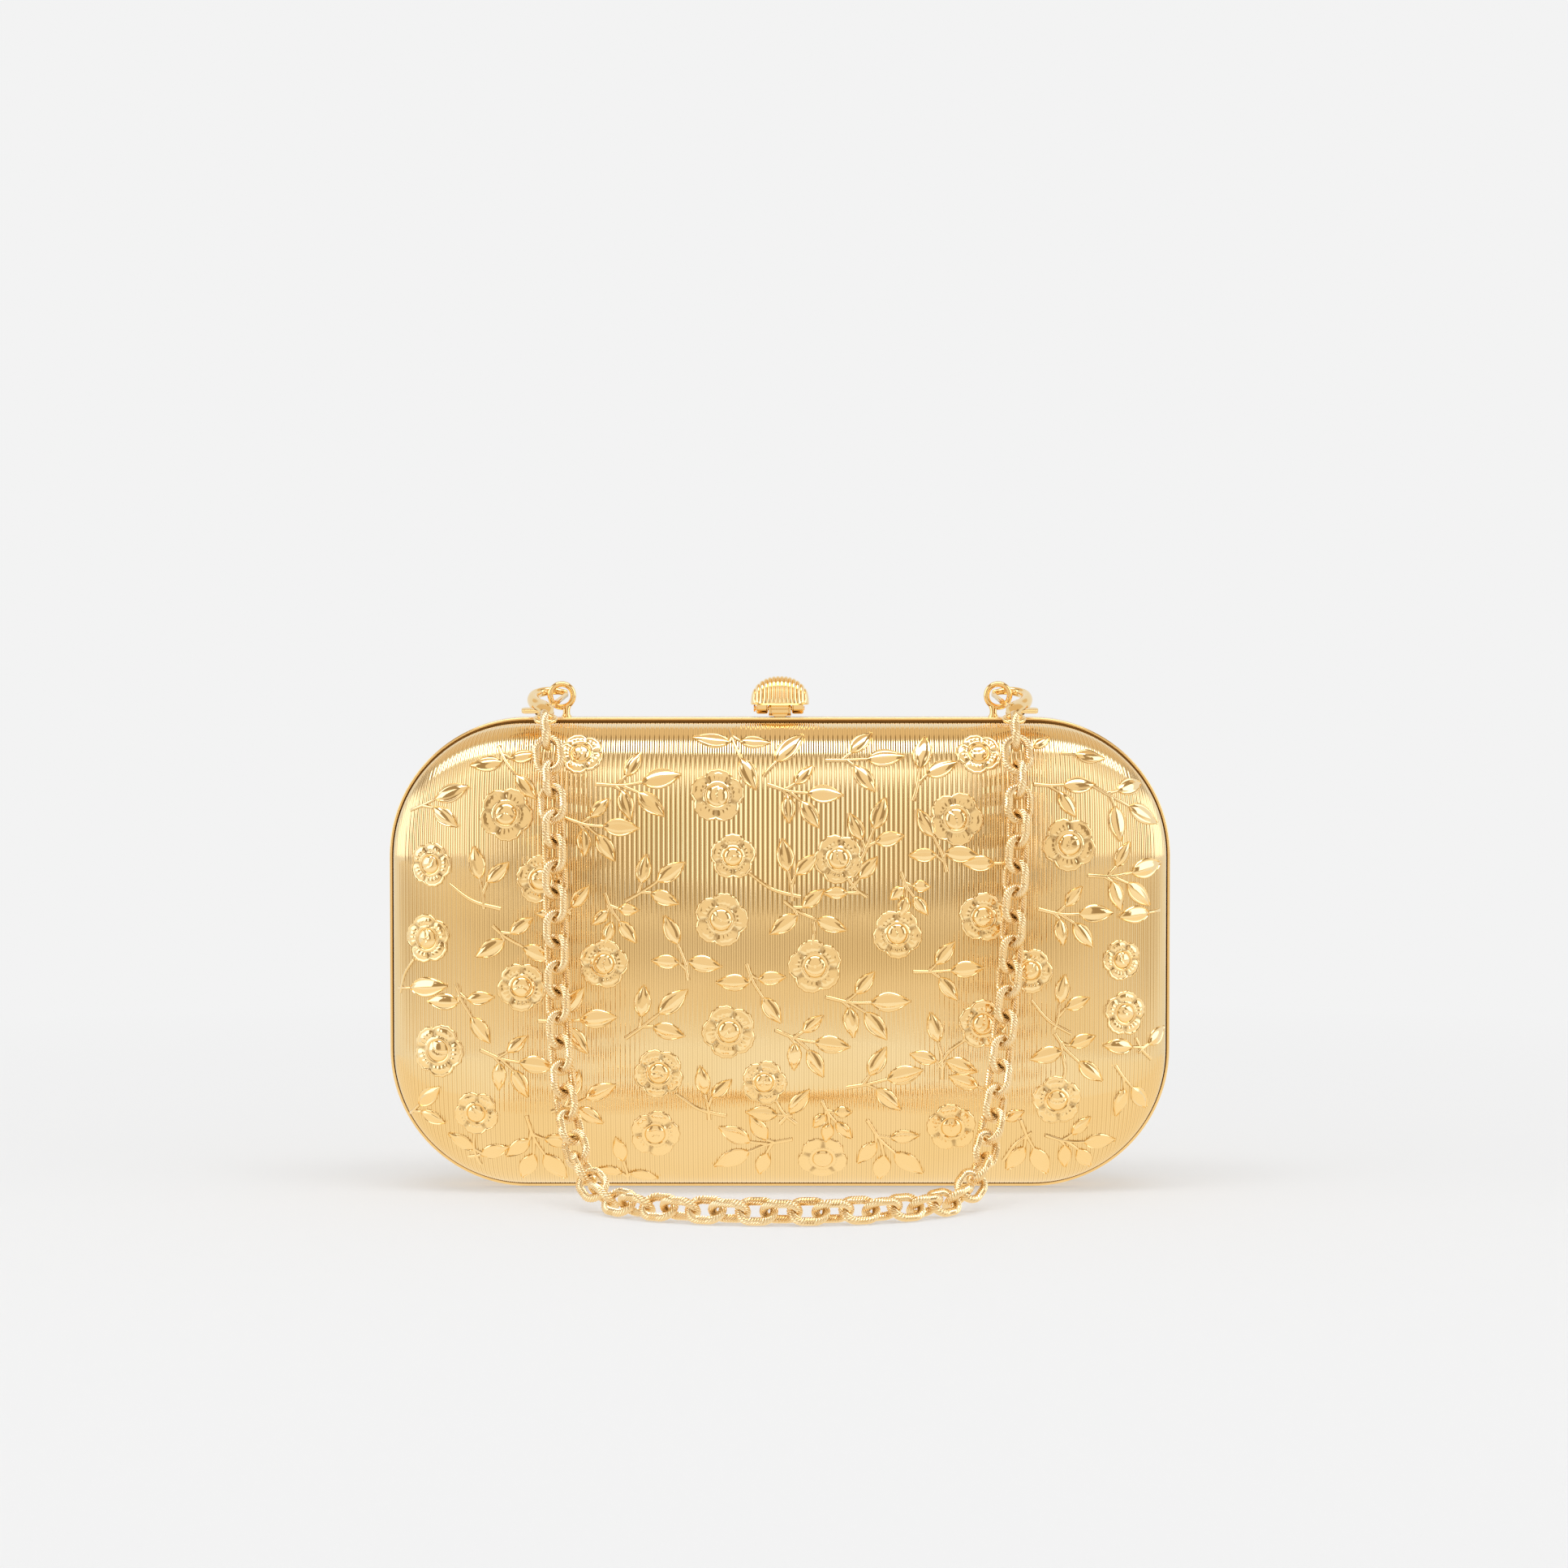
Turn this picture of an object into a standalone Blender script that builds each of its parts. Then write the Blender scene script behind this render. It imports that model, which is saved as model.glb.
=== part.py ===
# Metal box clutch: two hinged pressed shells, a tipping ribbed knob and a chain strap on lobster clasps
# Metres, +Z up. The front faces -Y, and the origin is the middle of the footprint on the floor.

import math

import bmesh
import bpy
from mathutils import Matrix, Vector

mm = 0.001

# Case
case_width = 190 * mm
case_height = 114.5 * mm
corner_radius = 33.6 * mm
parting_gap = 0.3 * mm
seat_gap = 0.2 * mm
cut_overrun = 2 * mm
corner_steps = 7

# Frame rims, an L section with an outer lip and an inner flange
lip_thickness = 0.75 * mm
lip_depth = 4.5 * mm
lip_rounding = 0.25 * mm
flange_depth = 2.4 * mm
flange_reach = 5.5 * mm
rim_edge_relief = 0.35 * mm
relief_clearance = 0.1 * mm

# Pressed shells
shell_rim_clearance = 0.35 * mm
shell_wall = 0.6 * mm
shell_straight_side = 3 * mm
shoulder_run = 30 * mm
shoulder_rise = 15.5 * mm
crown_rise = 3.3 * mm
shoulder_power = 2.4
shoulder_steps = 5
crown_ring_shares = (0.62, 0.28)
tray_side_steps = (3, 2)

# Raised flowers of the shells, as wide as a share of the case's height
flower_width_share = 0.105
flower_edge_rise = 0.25 * mm
flower_middle_rise = 0.6 * mm
flower_sink = 0.5 * mm
flower_petals = 5
petal_notch_share = 0.86
face_probe = 0.1 * mm

# Fabric covered linings
lining_clearance = 0.5 * mm
lining_thickness = 1 * mm

# Bottom hinge
barrel_radius = 1.5 * mm
barrel_clearance = 0.25 * mm
hinge_length = 92 * mm
knuckle_count = 9
knuckle_gap = 0.25 * mm
hinge_pin_radius = 0.6 * mm
pin_clearance = 0.1 * mm
leaf_thickness = 0.6 * mm
leaf_reach = 5.2 * mm
barrel_sides = 12

# Strap eyes on the front rim
eye_spacing = 106.2 * mm
eye_height = 5.3 * mm
eye_ring_radius = 2.8 * mm
eye_wire_radius = 0.7 * mm
eye_post_width = 2 * mm
eye_post_depth = 2.2 * mm
eye_post_inset = 1.15 * mm
eye_ring_steps = 20
wire_sides = 8

# Lobster clasps, measured across and along from the line through the strap eyes
clasp_tilt = math.radians(72)
clasp_offset = 3.2 * mm
claw_width = 10.4 * mm
claw_length = 14.2 * mm
claw_thickness = 3.4 * mm
claw_sides = 10
tail_eye_radius = 2.3 * mm
tail_wire_radius = 0.6 * mm
tail_eye_steps = 14
gate_thickness = 0.9 * mm
gate_width = 1.05 * mm
gate_slot_clearance = 0.2 * mm
gate_tip_gap = 0.9 * mm
gate_pivot_along = 10.4 * mm
gate_pivot_across = 0.4 * mm
gate_throat_share = 0.38
gate_opening = math.radians(11)
gate_hub_radius = 1.3 * mm
tab_reach = 6.1 * mm
tab_width = 2.2 * mm
rivet_radius = 0.5 * mm
rivet_proud = 0.15 * mm

# Chain links
link_length = 10.15 * mm
link_width = 7.8 * mm
link_wire = 2 * mm
link_contact = 0.1 * mm
link_play = 0.4 * mm
link_arc_steps = 4
link_sides = 6
link_roll = math.radians(45)
roll_settle_links = 5
floor_clearance = 0.2 * mm
tail_link_play = 0.35 * mm

# Strap route
strap_hang_clearance = 3.2 * mm
strap_lift_height = 24 * mm
strap_reach = 70.5 * mm

# Knob
knob_width = 14.4 * mm
knob_depth = 9.2 * mm
knob_height = 6.6 * mm
knob_lift = 3.4 * mm
knob_setback = 0.5 * mm
rib_count = 14
rib_depth = 0.25 * mm
knob_power = 2.2
knob_end_share = 0.97
knob_arc_steps = 8
knob_pin_height = 2.05 * mm
knob_pin_setback = 2.2 * mm
knob_pin_radius = 0.5 * mm
knob_pin_head_radius = 0.85 * mm
knob_pin_head = 0.4 * mm
knob_knuckle_radius = 1.4 * mm
knob_knuckle_width = 2.9 * mm
bracket_width = 5.4 * mm
bracket_radius = 1.1 * mm
bracket_foot_depth = 3.3 * mm
bracket_foot_height = 0.25 * mm
bracket_flare = 0.4 * mm
tongue_width = 4.3 * mm
tongue_thickness = 1.1 * mm
tongue_setforward = 1.5 * mm
tongue_dip = 0.4 * mm
tongue_slot_depth = 0.75 * mm
tongue_clearance = 0.3 * mm

# Places that follow from the sizes
half_width = case_width / 2
half_parting = parting_gap / 2
shell_inset = lip_thickness + shell_rim_clearance
shell_seat = flange_depth + seat_gap
shoulder_start = shell_seat + shell_straight_side
case_half_depth = shoulder_start + shoulder_rise + crown_rise
flower_width = flower_width_share * case_height
link_tube = link_wire / 2
link_bend_radius = (link_width - link_wire) / 2
link_half_line = (link_length - link_wire) / 2
joined_pitch = link_length - 2 * link_wire + link_contact
free_pitch = link_length - 2 * link_wire - link_play
link_mean_pitch = (joined_pitch + free_pitch) / 2
link_shift = (joined_pitch - free_pitch) / 4
link_overlap = link_half_line - link_mean_pitch / 2
rolled_half = link_bend_radius * math.sin(link_roll) + link_tube
link_rest_height = rolled_half + floor_clearance
eye_y = -(half_parting + lip_depth) / 2
eye_z = case_height + eye_height
hinge_z = barrel_radius
knob_pin_z = case_height + knob_pin_height
knob_base_z = case_height + knob_lift

# Middles of the raised flowers, as shares of a shell's half width and half height
flower_place_shares = (
    (-0.51, 0.89), (-0.7, 0.62), (-0.16, 0.7), (0.51, 0.89), (0.45, 0.6),
    (-0.12, 0.44), (0.15, 0.43), (-0.9, 0.4), (-0.61, 0.34), (0.74, 0.49),
    (-0.15, 0.17), (-0.91, 0.08), (-0.66, -0.12), (-0.45, -0.02), (0.09, -0.03),
    (0.3, 0.11), (0.52, 0.18), (0.88, -0.01), (0.64, -0.05), (0.89, -0.24),
    (-0.13, -0.31), (-0.88, -0.4), (0.52, -0.28), (-0.31, -0.49), (-0.04, -0.53),
    (0.71, -0.61), (-0.78, -0.67), (-0.32, -0.76), (0.44, -0.73), (0.11, -0.88),
)

# Route of the strap between its two clasps, as shares of half its width, of the reach
# past the hanging line, and of the height of the clasps' tails above the resting links
strap_route_shares = (
    (-0.975, -0.07, 0.885),
    (-0.958, -0.012, 0.767),
    (-0.951, 0.0, 0.604),
    (-0.943, 0.02, 0.441),
    (-0.929, 0.066, 0.297),
    (-0.899, 0.162, 0.17),
    (-0.841, 0.328, 0.07),
    (-0.76, 0.516, 0.014),
    (-0.663, 0.681, 0.0),
    (-0.495, 0.843, 0.0),
    (-0.247, 0.966, 0.0),
    (0.0, 1.0, 0.0),
    (0.247, 0.977, 0.0),
    (0.495, 0.858, 0.0),
    (0.671, 0.675, 0.0),
    (0.781, 0.493, 0.014),
    (0.855, 0.316, 0.072),
    (0.905, 0.162, 0.17),
    (0.942, 0.066, 0.297),
    (0.972, 0.02, 0.441),
    (0.995, 0.0, 0.604),
    (1.012, -0.012, 0.767),
    (1.014, -0.07, 0.885),
)

# Claw of a clasp from its tail to its nose: across as a share of the half width (outwards is
# negative), along as a share of the claw length, then the section's half sizes as shares of
# the half thickness, across the claw and through it
claw_section_shares = (
    (0.0, 1.0, 0.62, 0.62),
    (-0.04, 0.88, 1.1, 0.88),
    (-0.1, 0.74, 1.5, 1.0),
    (-0.28, 0.58, 1.35, 0.98),
    (-0.56, 0.4, 1.0, 0.94),
    (-0.7, 0.2, 0.85, 0.88),
    (-0.66, 0.0, 0.72, 0.8),
    (-0.4, -0.15, 0.6, 0.7),
    (0.0, -0.225, 0.5, 0.6),
    (0.4, -0.215, 0.45, 0.5),
    (0.82, -0.135, 0.4, 0.42),
)


def clear_scene():
    for item in list(bpy.data.objects):
        bpy.data.objects.remove(item, do_unlink=True)


def metal(name, colour, roughness):
    made = bpy.data.materials.new(name)
    made.use_nodes = True
    shader = made.node_tree.nodes["Principled BSDF"]
    shader.inputs["Base Color"].default_value = (*colour, 1)
    shader.inputs["Metallic"].default_value = 1
    shader.inputs["Roughness"].default_value = roughness
    return made


def fabric(name, colour):
    made = metal(name, colour, 0.85)
    made.node_tree.nodes["Principled BSDF"].inputs["Metallic"].default_value = 0
    return made


def pivot(name, place, parent=None):
    made = bpy.data.objects.new(name, None)
    bpy.context.collection.objects.link(made)
    made.parent = parent
    made.location = place - (case_place(parent) if parent else Vector())
    return made


def case_place(item):
    # A pivot's place with the parting plane at y = 0
    place = Vector()
    while item is not None:
        place += item.location
        item = item.parent
    return place


def mesh_object(name, bm, material, carrier, angle=40):
    # Takes a mesh drawn in case coordinates and gives it its carrier's pivot as origin
    bmesh.ops.recalc_face_normals(bm, faces=bm.faces)
    bmesh.ops.translate(bm, vec=-case_place(carrier), verts=bm.verts)
    data = bpy.data.meshes.new(name)
    bm.to_mesh(data)
    bm.free()
    data.shade_smooth()
    data.set_sharp_from_angle(angle=math.radians(angle))
    made = bpy.data.objects.new(name, data)
    bpy.context.collection.objects.link(made)
    made.parent = carrier
    if material:
        data.materials.append(material)
    return made


def cutter(name, bm, carrier):
    made = mesh_object(name, bm, None, carrier)
    made.hide_render = True
    made.display_type = "WIRE"
    return made


def combine(item, other, operation):
    modifier = item.modifiers.new(other.name, "BOOLEAN")
    modifier.operation = operation
    modifier.solver = "EXACT"
    modifier.object = other


def loft(bm, rings, around=True, start_cap=True, end_cap=True, closed=False):
    # Joins rings of equally many points with quads, and caps or closes the ends
    made = [[bm.verts.new(point) for point in ring] for ring in rings]
    pairs = list(zip(made, made[1:]))
    if closed:
        pairs.append((made[-1], made[0]))
    count = len(made[0])
    for near, far in pairs:
        for i in range(count if around else count - 1):
            j = (i + 1) % count
            bm.faces.new((near[i], near[j], far[j], far[i]))
    if start_cap and not closed:
        bm.faces.new(made[0])
    if end_cap and not closed:
        bm.faces.new(made[-1])
    return made


def fan(bm, ring, tip):
    middle = bm.verts.new(tip)
    for i, vertex in enumerate(ring):
        bm.faces.new((vertex, ring[(i + 1) % len(ring)], middle))


def add_box(bm, low, high):
    corners = [Vector((x, y, z)) for x in (low.x, high.x) for y in (low.y, high.y) for z in (low.z, high.z)]
    order = (0, 1, 3, 2)
    loft(bm, [[corners[i] for i in order], [corners[i + 4] for i in order]])


def add_bar(bm, low_x, high_x, place, radius, sides):
    # A round bar along X
    rings = []
    for x in (low_x, high_x):
        turns = [2 * math.pi * (i + 0.5) / sides for i in range(sides)]
        rings.append([Vector((x, place.y + radius * math.cos(a), place.z + radius * math.sin(a))) for a in turns])
    loft(bm, rings)


def outline(inset, side_steps=(1, 1)):
    # Points and inward directions round the case's rounded rectangle, set in by the inset
    centres = (
        (half_width - corner_radius, corner_radius, -90, side_steps[1]),
        (half_width - corner_radius, case_height - corner_radius, 0, side_steps[0]),
        (-half_width + corner_radius, case_height - corner_radius, 90, side_steps[1]),
        (-half_width + corner_radius, corner_radius, 180, side_steps[0]),
    )
    arcs = []
    for x, z, first, steps in centres:
        arc = []
        for i in range(corner_steps + 1):
            a = math.radians(first + 90 * i / corner_steps)
            out = Vector((math.cos(a), 0, math.sin(a)))
            arc.append((Vector((x, 0, z)) + out * (corner_radius - inset), -out))
        arcs.append((arc, steps))
    points = []
    for k, (arc, steps) in enumerate(arcs):
        points += arc
        start, inward = arc[-1]
        end = arcs[(k + 1) % 4][0][0][0]
        points += [(start.lerp(end, i / steps), inward) for i in range(1, steps)]
    return points


def crown_at(point):
    across = point.x / (half_width - shell_inset)
    up = (point.z - case_height / 2) / (case_height / 2 - shell_inset)
    return crown_rise * (1 - across**2) * (1 - up**2)


def tray_rings(offset):
    # Rings of a pressed tray's surface from its rim to the last one round the crown
    rings = []
    inset = shell_inset + offset
    for depth in (shell_seat, shoulder_start):
        flat = outline(inset, tray_side_steps)
        rings.append([p + Vector((0, depth, 0)) for p, _ in flat])
    for k in range(1, shoulder_steps + 1):
        a = math.pi / 2 * k / shoulder_steps
        run = 1 - math.cos(a) ** (2 / shoulder_power)
        rise = math.sin(a) ** (2 / shoulder_power)
        flat = outline(inset + (shoulder_run - offset) * run, tray_side_steps)
        depths = [shoulder_start + (shoulder_rise - offset) * rise + crown_at(p) * rise for p, _ in flat]
        rings.append([p + Vector((0, depth, 0)) for (p, _), depth in zip(flat, depths)])
    middle = Vector((0, 0, case_height / 2))
    edge = [Vector((p.x, 0, p.z)) for p in rings[-1]]
    top = shoulder_start + shoulder_rise - offset
    for share in crown_ring_shares:
        flat = [middle.lerp(p, share) for p in edge]
        rings.append([p + Vector((0, top + crown_at(p), 0)) for p in flat])
    return rings, middle + Vector((0, top + crown_rise, 0))


def tray(name, side, inner, outer, material, carrier):
    bm = bmesh.new()
    outside, out_tip = tray_rings(outer)
    inside, in_tip = tray_rings(inner)
    made = loft(bm, outside[::-1] + inside, start_cap=False, end_cap=False)
    fan(bm, made[0], out_tip)
    fan(bm, made[-1], in_tip)
    bmesh.ops.scale(bm, vec=(1, side, 1), verts=bm.verts)
    return mesh_object(name, bm, material, carrier, 50)


def face_point(x, up, side):
    # A point of a shell's outer face, with up counted from the case's middle
    beyond_x = max(abs(x) - (half_width - corner_radius), 0)
    beyond_up = max(abs(up) - (case_height / 2 - corner_radius), 0)
    inward = (corner_radius - shell_inset - math.hypot(beyond_x, beyond_up)) / shoulder_run
    run = 1 - min(max(inward, 0), 1)
    rise = (1 - run**shoulder_power) ** (1 / shoulder_power)
    point = Vector((x, 0, case_height / 2 + up))
    return point + Vector((0, side * (shoulder_start + rise * (shoulder_rise + crown_at(point))), 0))


def face_frame(x, up, side):
    # The place on the face, its two directions along the face, and the one out of it
    place = face_point(x, up, side)
    across = (face_point(x + face_probe, up, side) - place).normalized()
    above = (face_point(x, up + face_probe, side) - place).normalized()
    return place, across, above, (across.cross(above) * -side).normalized()


def add_flower(bm, x, up, side):
    # A low flower with notches between its petals, rising to its middle
    place, across, above, out = face_frame(x, up, side)
    count = 2 * flower_petals
    low, high = [], []
    for i in range(count):
        a = 2 * math.pi * i / count
        reach = flower_width / 2 * (petal_notch_share if i % 2 else 1)
        spot = place + (across * math.cos(a) + above * math.sin(a)) * reach
        base, _, _, off = face_frame(spot.x, spot.z - case_height / 2, side)
        low.append(base - off * flower_sink)
        high.append(base + off * flower_edge_rise)
    made = loft(bm, [low, high], end_cap=False)
    fan(bm, made[-1], place + out * flower_middle_rise)


def flowered_shell(name, side, material, carrier):
    made = tray(name, side, shell_wall, 0, material, carrier)
    bm = bmesh.new()
    for across_share, up_share in flower_place_shares:
        x = -side * across_share * (half_width - shell_inset)
        add_flower(bm, x, up_share * (case_height / 2 - shell_inset), side)
    combine(made, cutter(name + "_flowers", bm, carrier), "UNION")


def rim_profile(z):
    # The rim's section, as distances in from the outline and out from the parting plane.
    # Below the hinge axis the parting edge is cut back, so the halves can fold past each other.
    relief = max(rim_edge_relief, hinge_z + relief_clearance - z)
    return (
        (relief, half_parting),
        (flange_reach, half_parting),
        (flange_reach, flange_depth),
        (lip_thickness, flange_depth),
        (lip_thickness, lip_depth),
        (lip_rounding, lip_depth),
        (0, lip_depth - lip_rounding),
        (0, half_parting + relief),
    )


def rim(name, side, material, carrier):
    bm = bmesh.new()
    rings = []
    for point, inward in outline(0):
        section = rim_profile(point.z)
        rings.append([point + inward * u + Vector((0, side * v, 0)) for u, v in section])
    loft(bm, rings, closed=True)
    made = mesh_object(name, bm, material, carrier)
    combine(made, hinge_relief(name + "_hinge_relief", side, carrier), "DIFFERENCE")
    return made


def hinge_relief(name, side, carrier):
    # A half round bed for the barrel, and a step for the leaf
    bm = bmesh.new()
    half = hinge_length / 2 + barrel_clearance
    bed = barrel_radius + barrel_clearance
    depth = leaf_thickness + half_parting + seat_gap
    top = hinge_z + math.sqrt(bed**2 - depth**2)
    sweep = [math.radians(a) for a in range(-90, 90, 15)]
    edge = [(bed * math.cos(a), hinge_z + bed * math.sin(a)) for a in sweep if hinge_z + bed * math.sin(a) < top]
    edge += [(depth, top), (depth, flange_reach + cut_overrun), (-cut_overrun, flange_reach + cut_overrun)]
    edge += [(-cut_overrun, hinge_z - bed)]
    loft(bm, [[Vector((x, side * y, z)) for y, z in edge] for x in (-half, half)])
    return cutter(name, bm, carrier)


def hinge_spans():
    pitch = hinge_length / knuckle_count
    starts = [-hinge_length / 2 + pitch * i for i in range(knuckle_count)]
    return [(start + knuckle_gap / 2, start + pitch - knuckle_gap / 2) for start in starts]


def hinge_leaf(name, side, first, material, carrier):
    half = hinge_length / 2
    near, far = half_parting, half_parting + leaf_thickness
    strip = bmesh.new()
    foot = hinge_z + barrel_radius + barrel_clearance
    low, high = sorted((side * near, side * far))
    add_box(strip, Vector((-half, low, foot)), Vector((half, high, leaf_reach)))
    made = mesh_object(name, strip, material, carrier)
    tabs, barrels = bmesh.new(), bmesh.new()
    axis = Vector((0, 0, hinge_z))
    for start, end in hinge_spans()[first::2]:
        add_box(tabs, Vector((start, low, hinge_z)), Vector((end, high, (foot + leaf_reach) / 2)))
        add_bar(barrels, start, end, axis, barrel_radius, barrel_sides)
    combine(made, cutter(name + "_tabs", tabs, carrier), "UNION")
    combine(made, cutter(name + "_barrels", barrels, carrier), "UNION")
    bore = bmesh.new()
    reach = half + cut_overrun
    add_bar(bore, -reach, reach, axis, hinge_pin_radius + pin_clearance, barrel_sides)
    combine(made, cutter(name + "_bore", bore, carrier), "DIFFERENCE")
    return made


def bar_object(name, low_x, high_x, place, radius, sides, material, carrier):
    bm = bmesh.new()
    add_bar(bm, low_x, high_x, place, radius, sides)
    return mesh_object(name, bm, material, carrier)


def add_ring(bm, centre, across, up, radius, tube, steps, sides):
    # A ring of round wire in the plane of two directions
    normal = across.cross(up)
    rings = []
    for i in range(steps):
        a = 2 * math.pi * i / steps
        out = across * math.cos(a) + up * math.sin(a)
        turns = [2 * math.pi * j / sides for j in range(sides)]
        rings.append([centre + out * (radius + tube * math.cos(b)) + normal * tube * math.sin(b) for b in turns])
    loft(bm, rings, closed=True)


def strap_eye(name, side, material, carrier):
    centre = Vector((side * eye_spacing / 2, eye_y, eye_z))
    bm = bmesh.new()
    add_ring(bm, centre, Vector((1, 0, 0)), Vector((0, 0, 1)), eye_ring_radius, eye_wire_radius,
             eye_ring_steps, wire_sides)
    made = mesh_object(name, bm, material, carrier)
    post = bmesh.new()
    post_x = centre.x - side * eye_post_inset
    half = Vector((eye_post_width / 2, eye_post_depth / 2, 0))
    foot = Vector((post_x, eye_y, case_height + seat_gap))
    head = Vector((post_x, eye_y, eye_z - eye_ring_radius + eye_wire_radius / 2))
    add_box(post, foot - half, head + half)
    bmesh.ops.bevel(post, geom=[e for e in post.edges if abs((e.verts[0].co - e.verts[1].co).z) > seat_gap],
                    offset=eye_post_width / 4, segments=2, affect="EDGES")
    combine(made, cutter(name + "_post", post, carrier), "UNION")
    return made


def clasp_frame(side):
    # Directions of a clasp: inwards across the case, along to its tail, and out of its plane
    across = Vector((-side, 0, 0))
    along = Vector((0, -math.sin(clasp_tilt), -math.cos(clasp_tilt)))
    through = Vector((0, -math.cos(clasp_tilt), math.sin(clasp_tilt)))
    return across, along, through


def clasp_point(side, across_by, along_by, through_by=0):
    across, along, through = clasp_frame(side)
    base = Vector((side * (eye_spacing / 2 + clasp_offset), eye_y, eye_z))
    return base + across * across_by + along * along_by + through * through_by


def smooth_line(points, steps):
    # Points read from a smooth curve through the given ones
    ends = [points[0] * 2 - points[1], *points, points[-1] * 2 - points[-2]]
    line = []
    for a, b, c, d in zip(ends, ends[1:], ends[2:], ends[3:]):
        for i in range(steps):
            t = i / steps
            line.append(0.5 * (2 * b + (c - a) * t + (2 * a - 5 * b + 4 * c - d) * t**2
                               + (3 * b - a - 3 * c + d) * t**3))
    return [*line, points[-1]]


def claw(name, side, material, carrier):
    _, _, through = clasp_frame(side)
    half = claw_thickness / 2
    stations = []
    for across_share, along_share, wide_share, deep_share in claw_section_shares:
        middle = clasp_point(side, across_share * claw_width / 2, along_share * claw_length)
        stations.append((middle, wide_share * half, deep_share * half))
    rings = []
    for i, (middle, wide, deep) in enumerate(stations):
        before = stations[max(i - 1, 0)][0]
        after = stations[min(i + 1, len(stations) - 1)][0]
        out = (after - before).normalized().cross(through)
        turns = [2 * math.pi * (k + 0.5) / claw_sides for k in range(claw_sides)]
        rings.append([middle + out * wide * math.cos(a) + through * deep * math.sin(a) for a in turns])
    bm = bmesh.new()
    loft(bm, rings)
    made = mesh_object(name, bm, material, carrier)
    combine(made, tail_eye(name + "_tail_eye", side, carrier), "UNION")
    combine(made, gate_slot(name + "_slot", side, carrier), "DIFFERENCE")
    bore = clasp_pin(name + "_bore", side, rivet_radius + pin_clearance, claw_thickness, None, carrier)
    bore.hide_render = True
    bore.display_type = "WIRE"
    combine(made, bore, "DIFFERENCE")
    return made


def tail_eye_along():
    return claw_length + tail_eye_radius


def tail_eye(name, side, carrier):
    across, along, _ = clasp_frame(side)
    bm = bmesh.new()
    add_ring(bm, clasp_point(side, 0, tail_eye_along()), across, along, tail_eye_radius,
             tail_wire_radius, tail_eye_steps, wire_sides)
    return cutter(name, bm, carrier)


def clasp_prism(bm, side, edge, half_thickness):
    # An outline in the clasp's plane, made into a plate
    layers = [[clasp_point(side, a, b, t) for a, b in edge] for t in (-half_thickness, half_thickness)]
    loft(bm, layers)


def gate_slot(name, side, carrier):
    bm = bmesh.new()
    reach = claw_width
    low = gate_pivot_along - gate_hub_radius - 3 * gate_slot_clearance
    high = gate_pivot_along + gate_hub_radius + gate_slot_clearance
    inner = gate_pivot_across - gate_hub_radius - 3 * gate_slot_clearance
    throat = gate_throat_share * claw_length
    tab_travel = reach * math.tan(gate_opening)
    edge = ((-reach, low), (inner, low), (inner, throat), (reach, throat), (reach, high), (0, high),
            (-reach, high + tab_travel))
    clasp_prism(bm, side, edge, gate_thickness / 2 + gate_slot_clearance)
    return cutter(name, bm, carrier)


def nose_across():
    return claw_section_shares[-1][0] * claw_width / 2


def nose_along():
    return claw_section_shares[-1][1] * claw_length


def gate(name, side, material, carrier):
    # The sprung lever: a bar from the nose to its hub, and a thumb tab past the claw's back
    top = nose_along() + gate_tip_gap
    half = gate_width / 2
    hub = Vector((gate_pivot_across, gate_pivot_along))
    bar_low = hub + Vector((0, -gate_hub_radius))
    edge = [Vector((nose_across() - half, top)), Vector((nose_across() + half, top))]
    turns = [math.radians(a) for a in range(-60, 121, 30)]
    edge += [hub + gate_hub_radius * Vector((math.cos(a), math.sin(a))) for a in turns]
    edge += [Vector((-tab_reach, gate_pivot_along + gate_hub_radius)),
             Vector((-tab_reach, gate_pivot_along + gate_hub_radius - tab_width))]
    edge += [Vector((hub.x - gate_hub_radius, bar_low.y + half)), bar_low + Vector((-half, 0))]
    bm = bmesh.new()
    clasp_prism(bm, side, edge, gate_thickness / 2)
    made = mesh_object(name, bm, material, carrier)
    bore = clasp_pin(name + "_bore", side, rivet_radius + pin_clearance, claw_thickness, None, carrier)
    bore.hide_render = True
    bore.display_type = "WIRE"
    combine(made, bore, "DIFFERENCE")
    return made


def clasp_pin(name, side, radius, half_length, material, carrier):
    bm = bmesh.new()
    turns = [2 * math.pi * k / barrel_sides for k in range(barrel_sides)]
    edge = [(gate_pivot_across + radius * math.cos(a), gate_pivot_along + radius * math.sin(a)) for a in turns]
    clasp_prism(bm, side, edge, half_length)
    return mesh_object(name, bm, material, carrier)


def strap_ends():
    # The far wires of the clasps' tail eyes, which the first and last links hang on
    reach = tail_eye_along() + tail_eye_radius
    return clasp_point(-1, 0, reach), clasp_point(1, 0, reach)


def strap_line(reach):
    left, right = strap_ends()
    hang = case_half_depth + strap_hang_clearance
    rise = left.z - link_rest_height
    places = []
    for across_share, forward_share, up_share in strap_route_shares:
        y = -(hang + forward_share * (reach - hang))
        places.append(Vector((across_share * right.x, y, link_rest_height + up_share * rise)))
    start = link_overlap - tail_wire_radius - link_tube - tail_link_play
    first = left + (places[0] - left).normalized() * start
    last = right + (places[-1] - right).normalized() * start
    return smooth_line([first, *places, last], 24)


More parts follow.
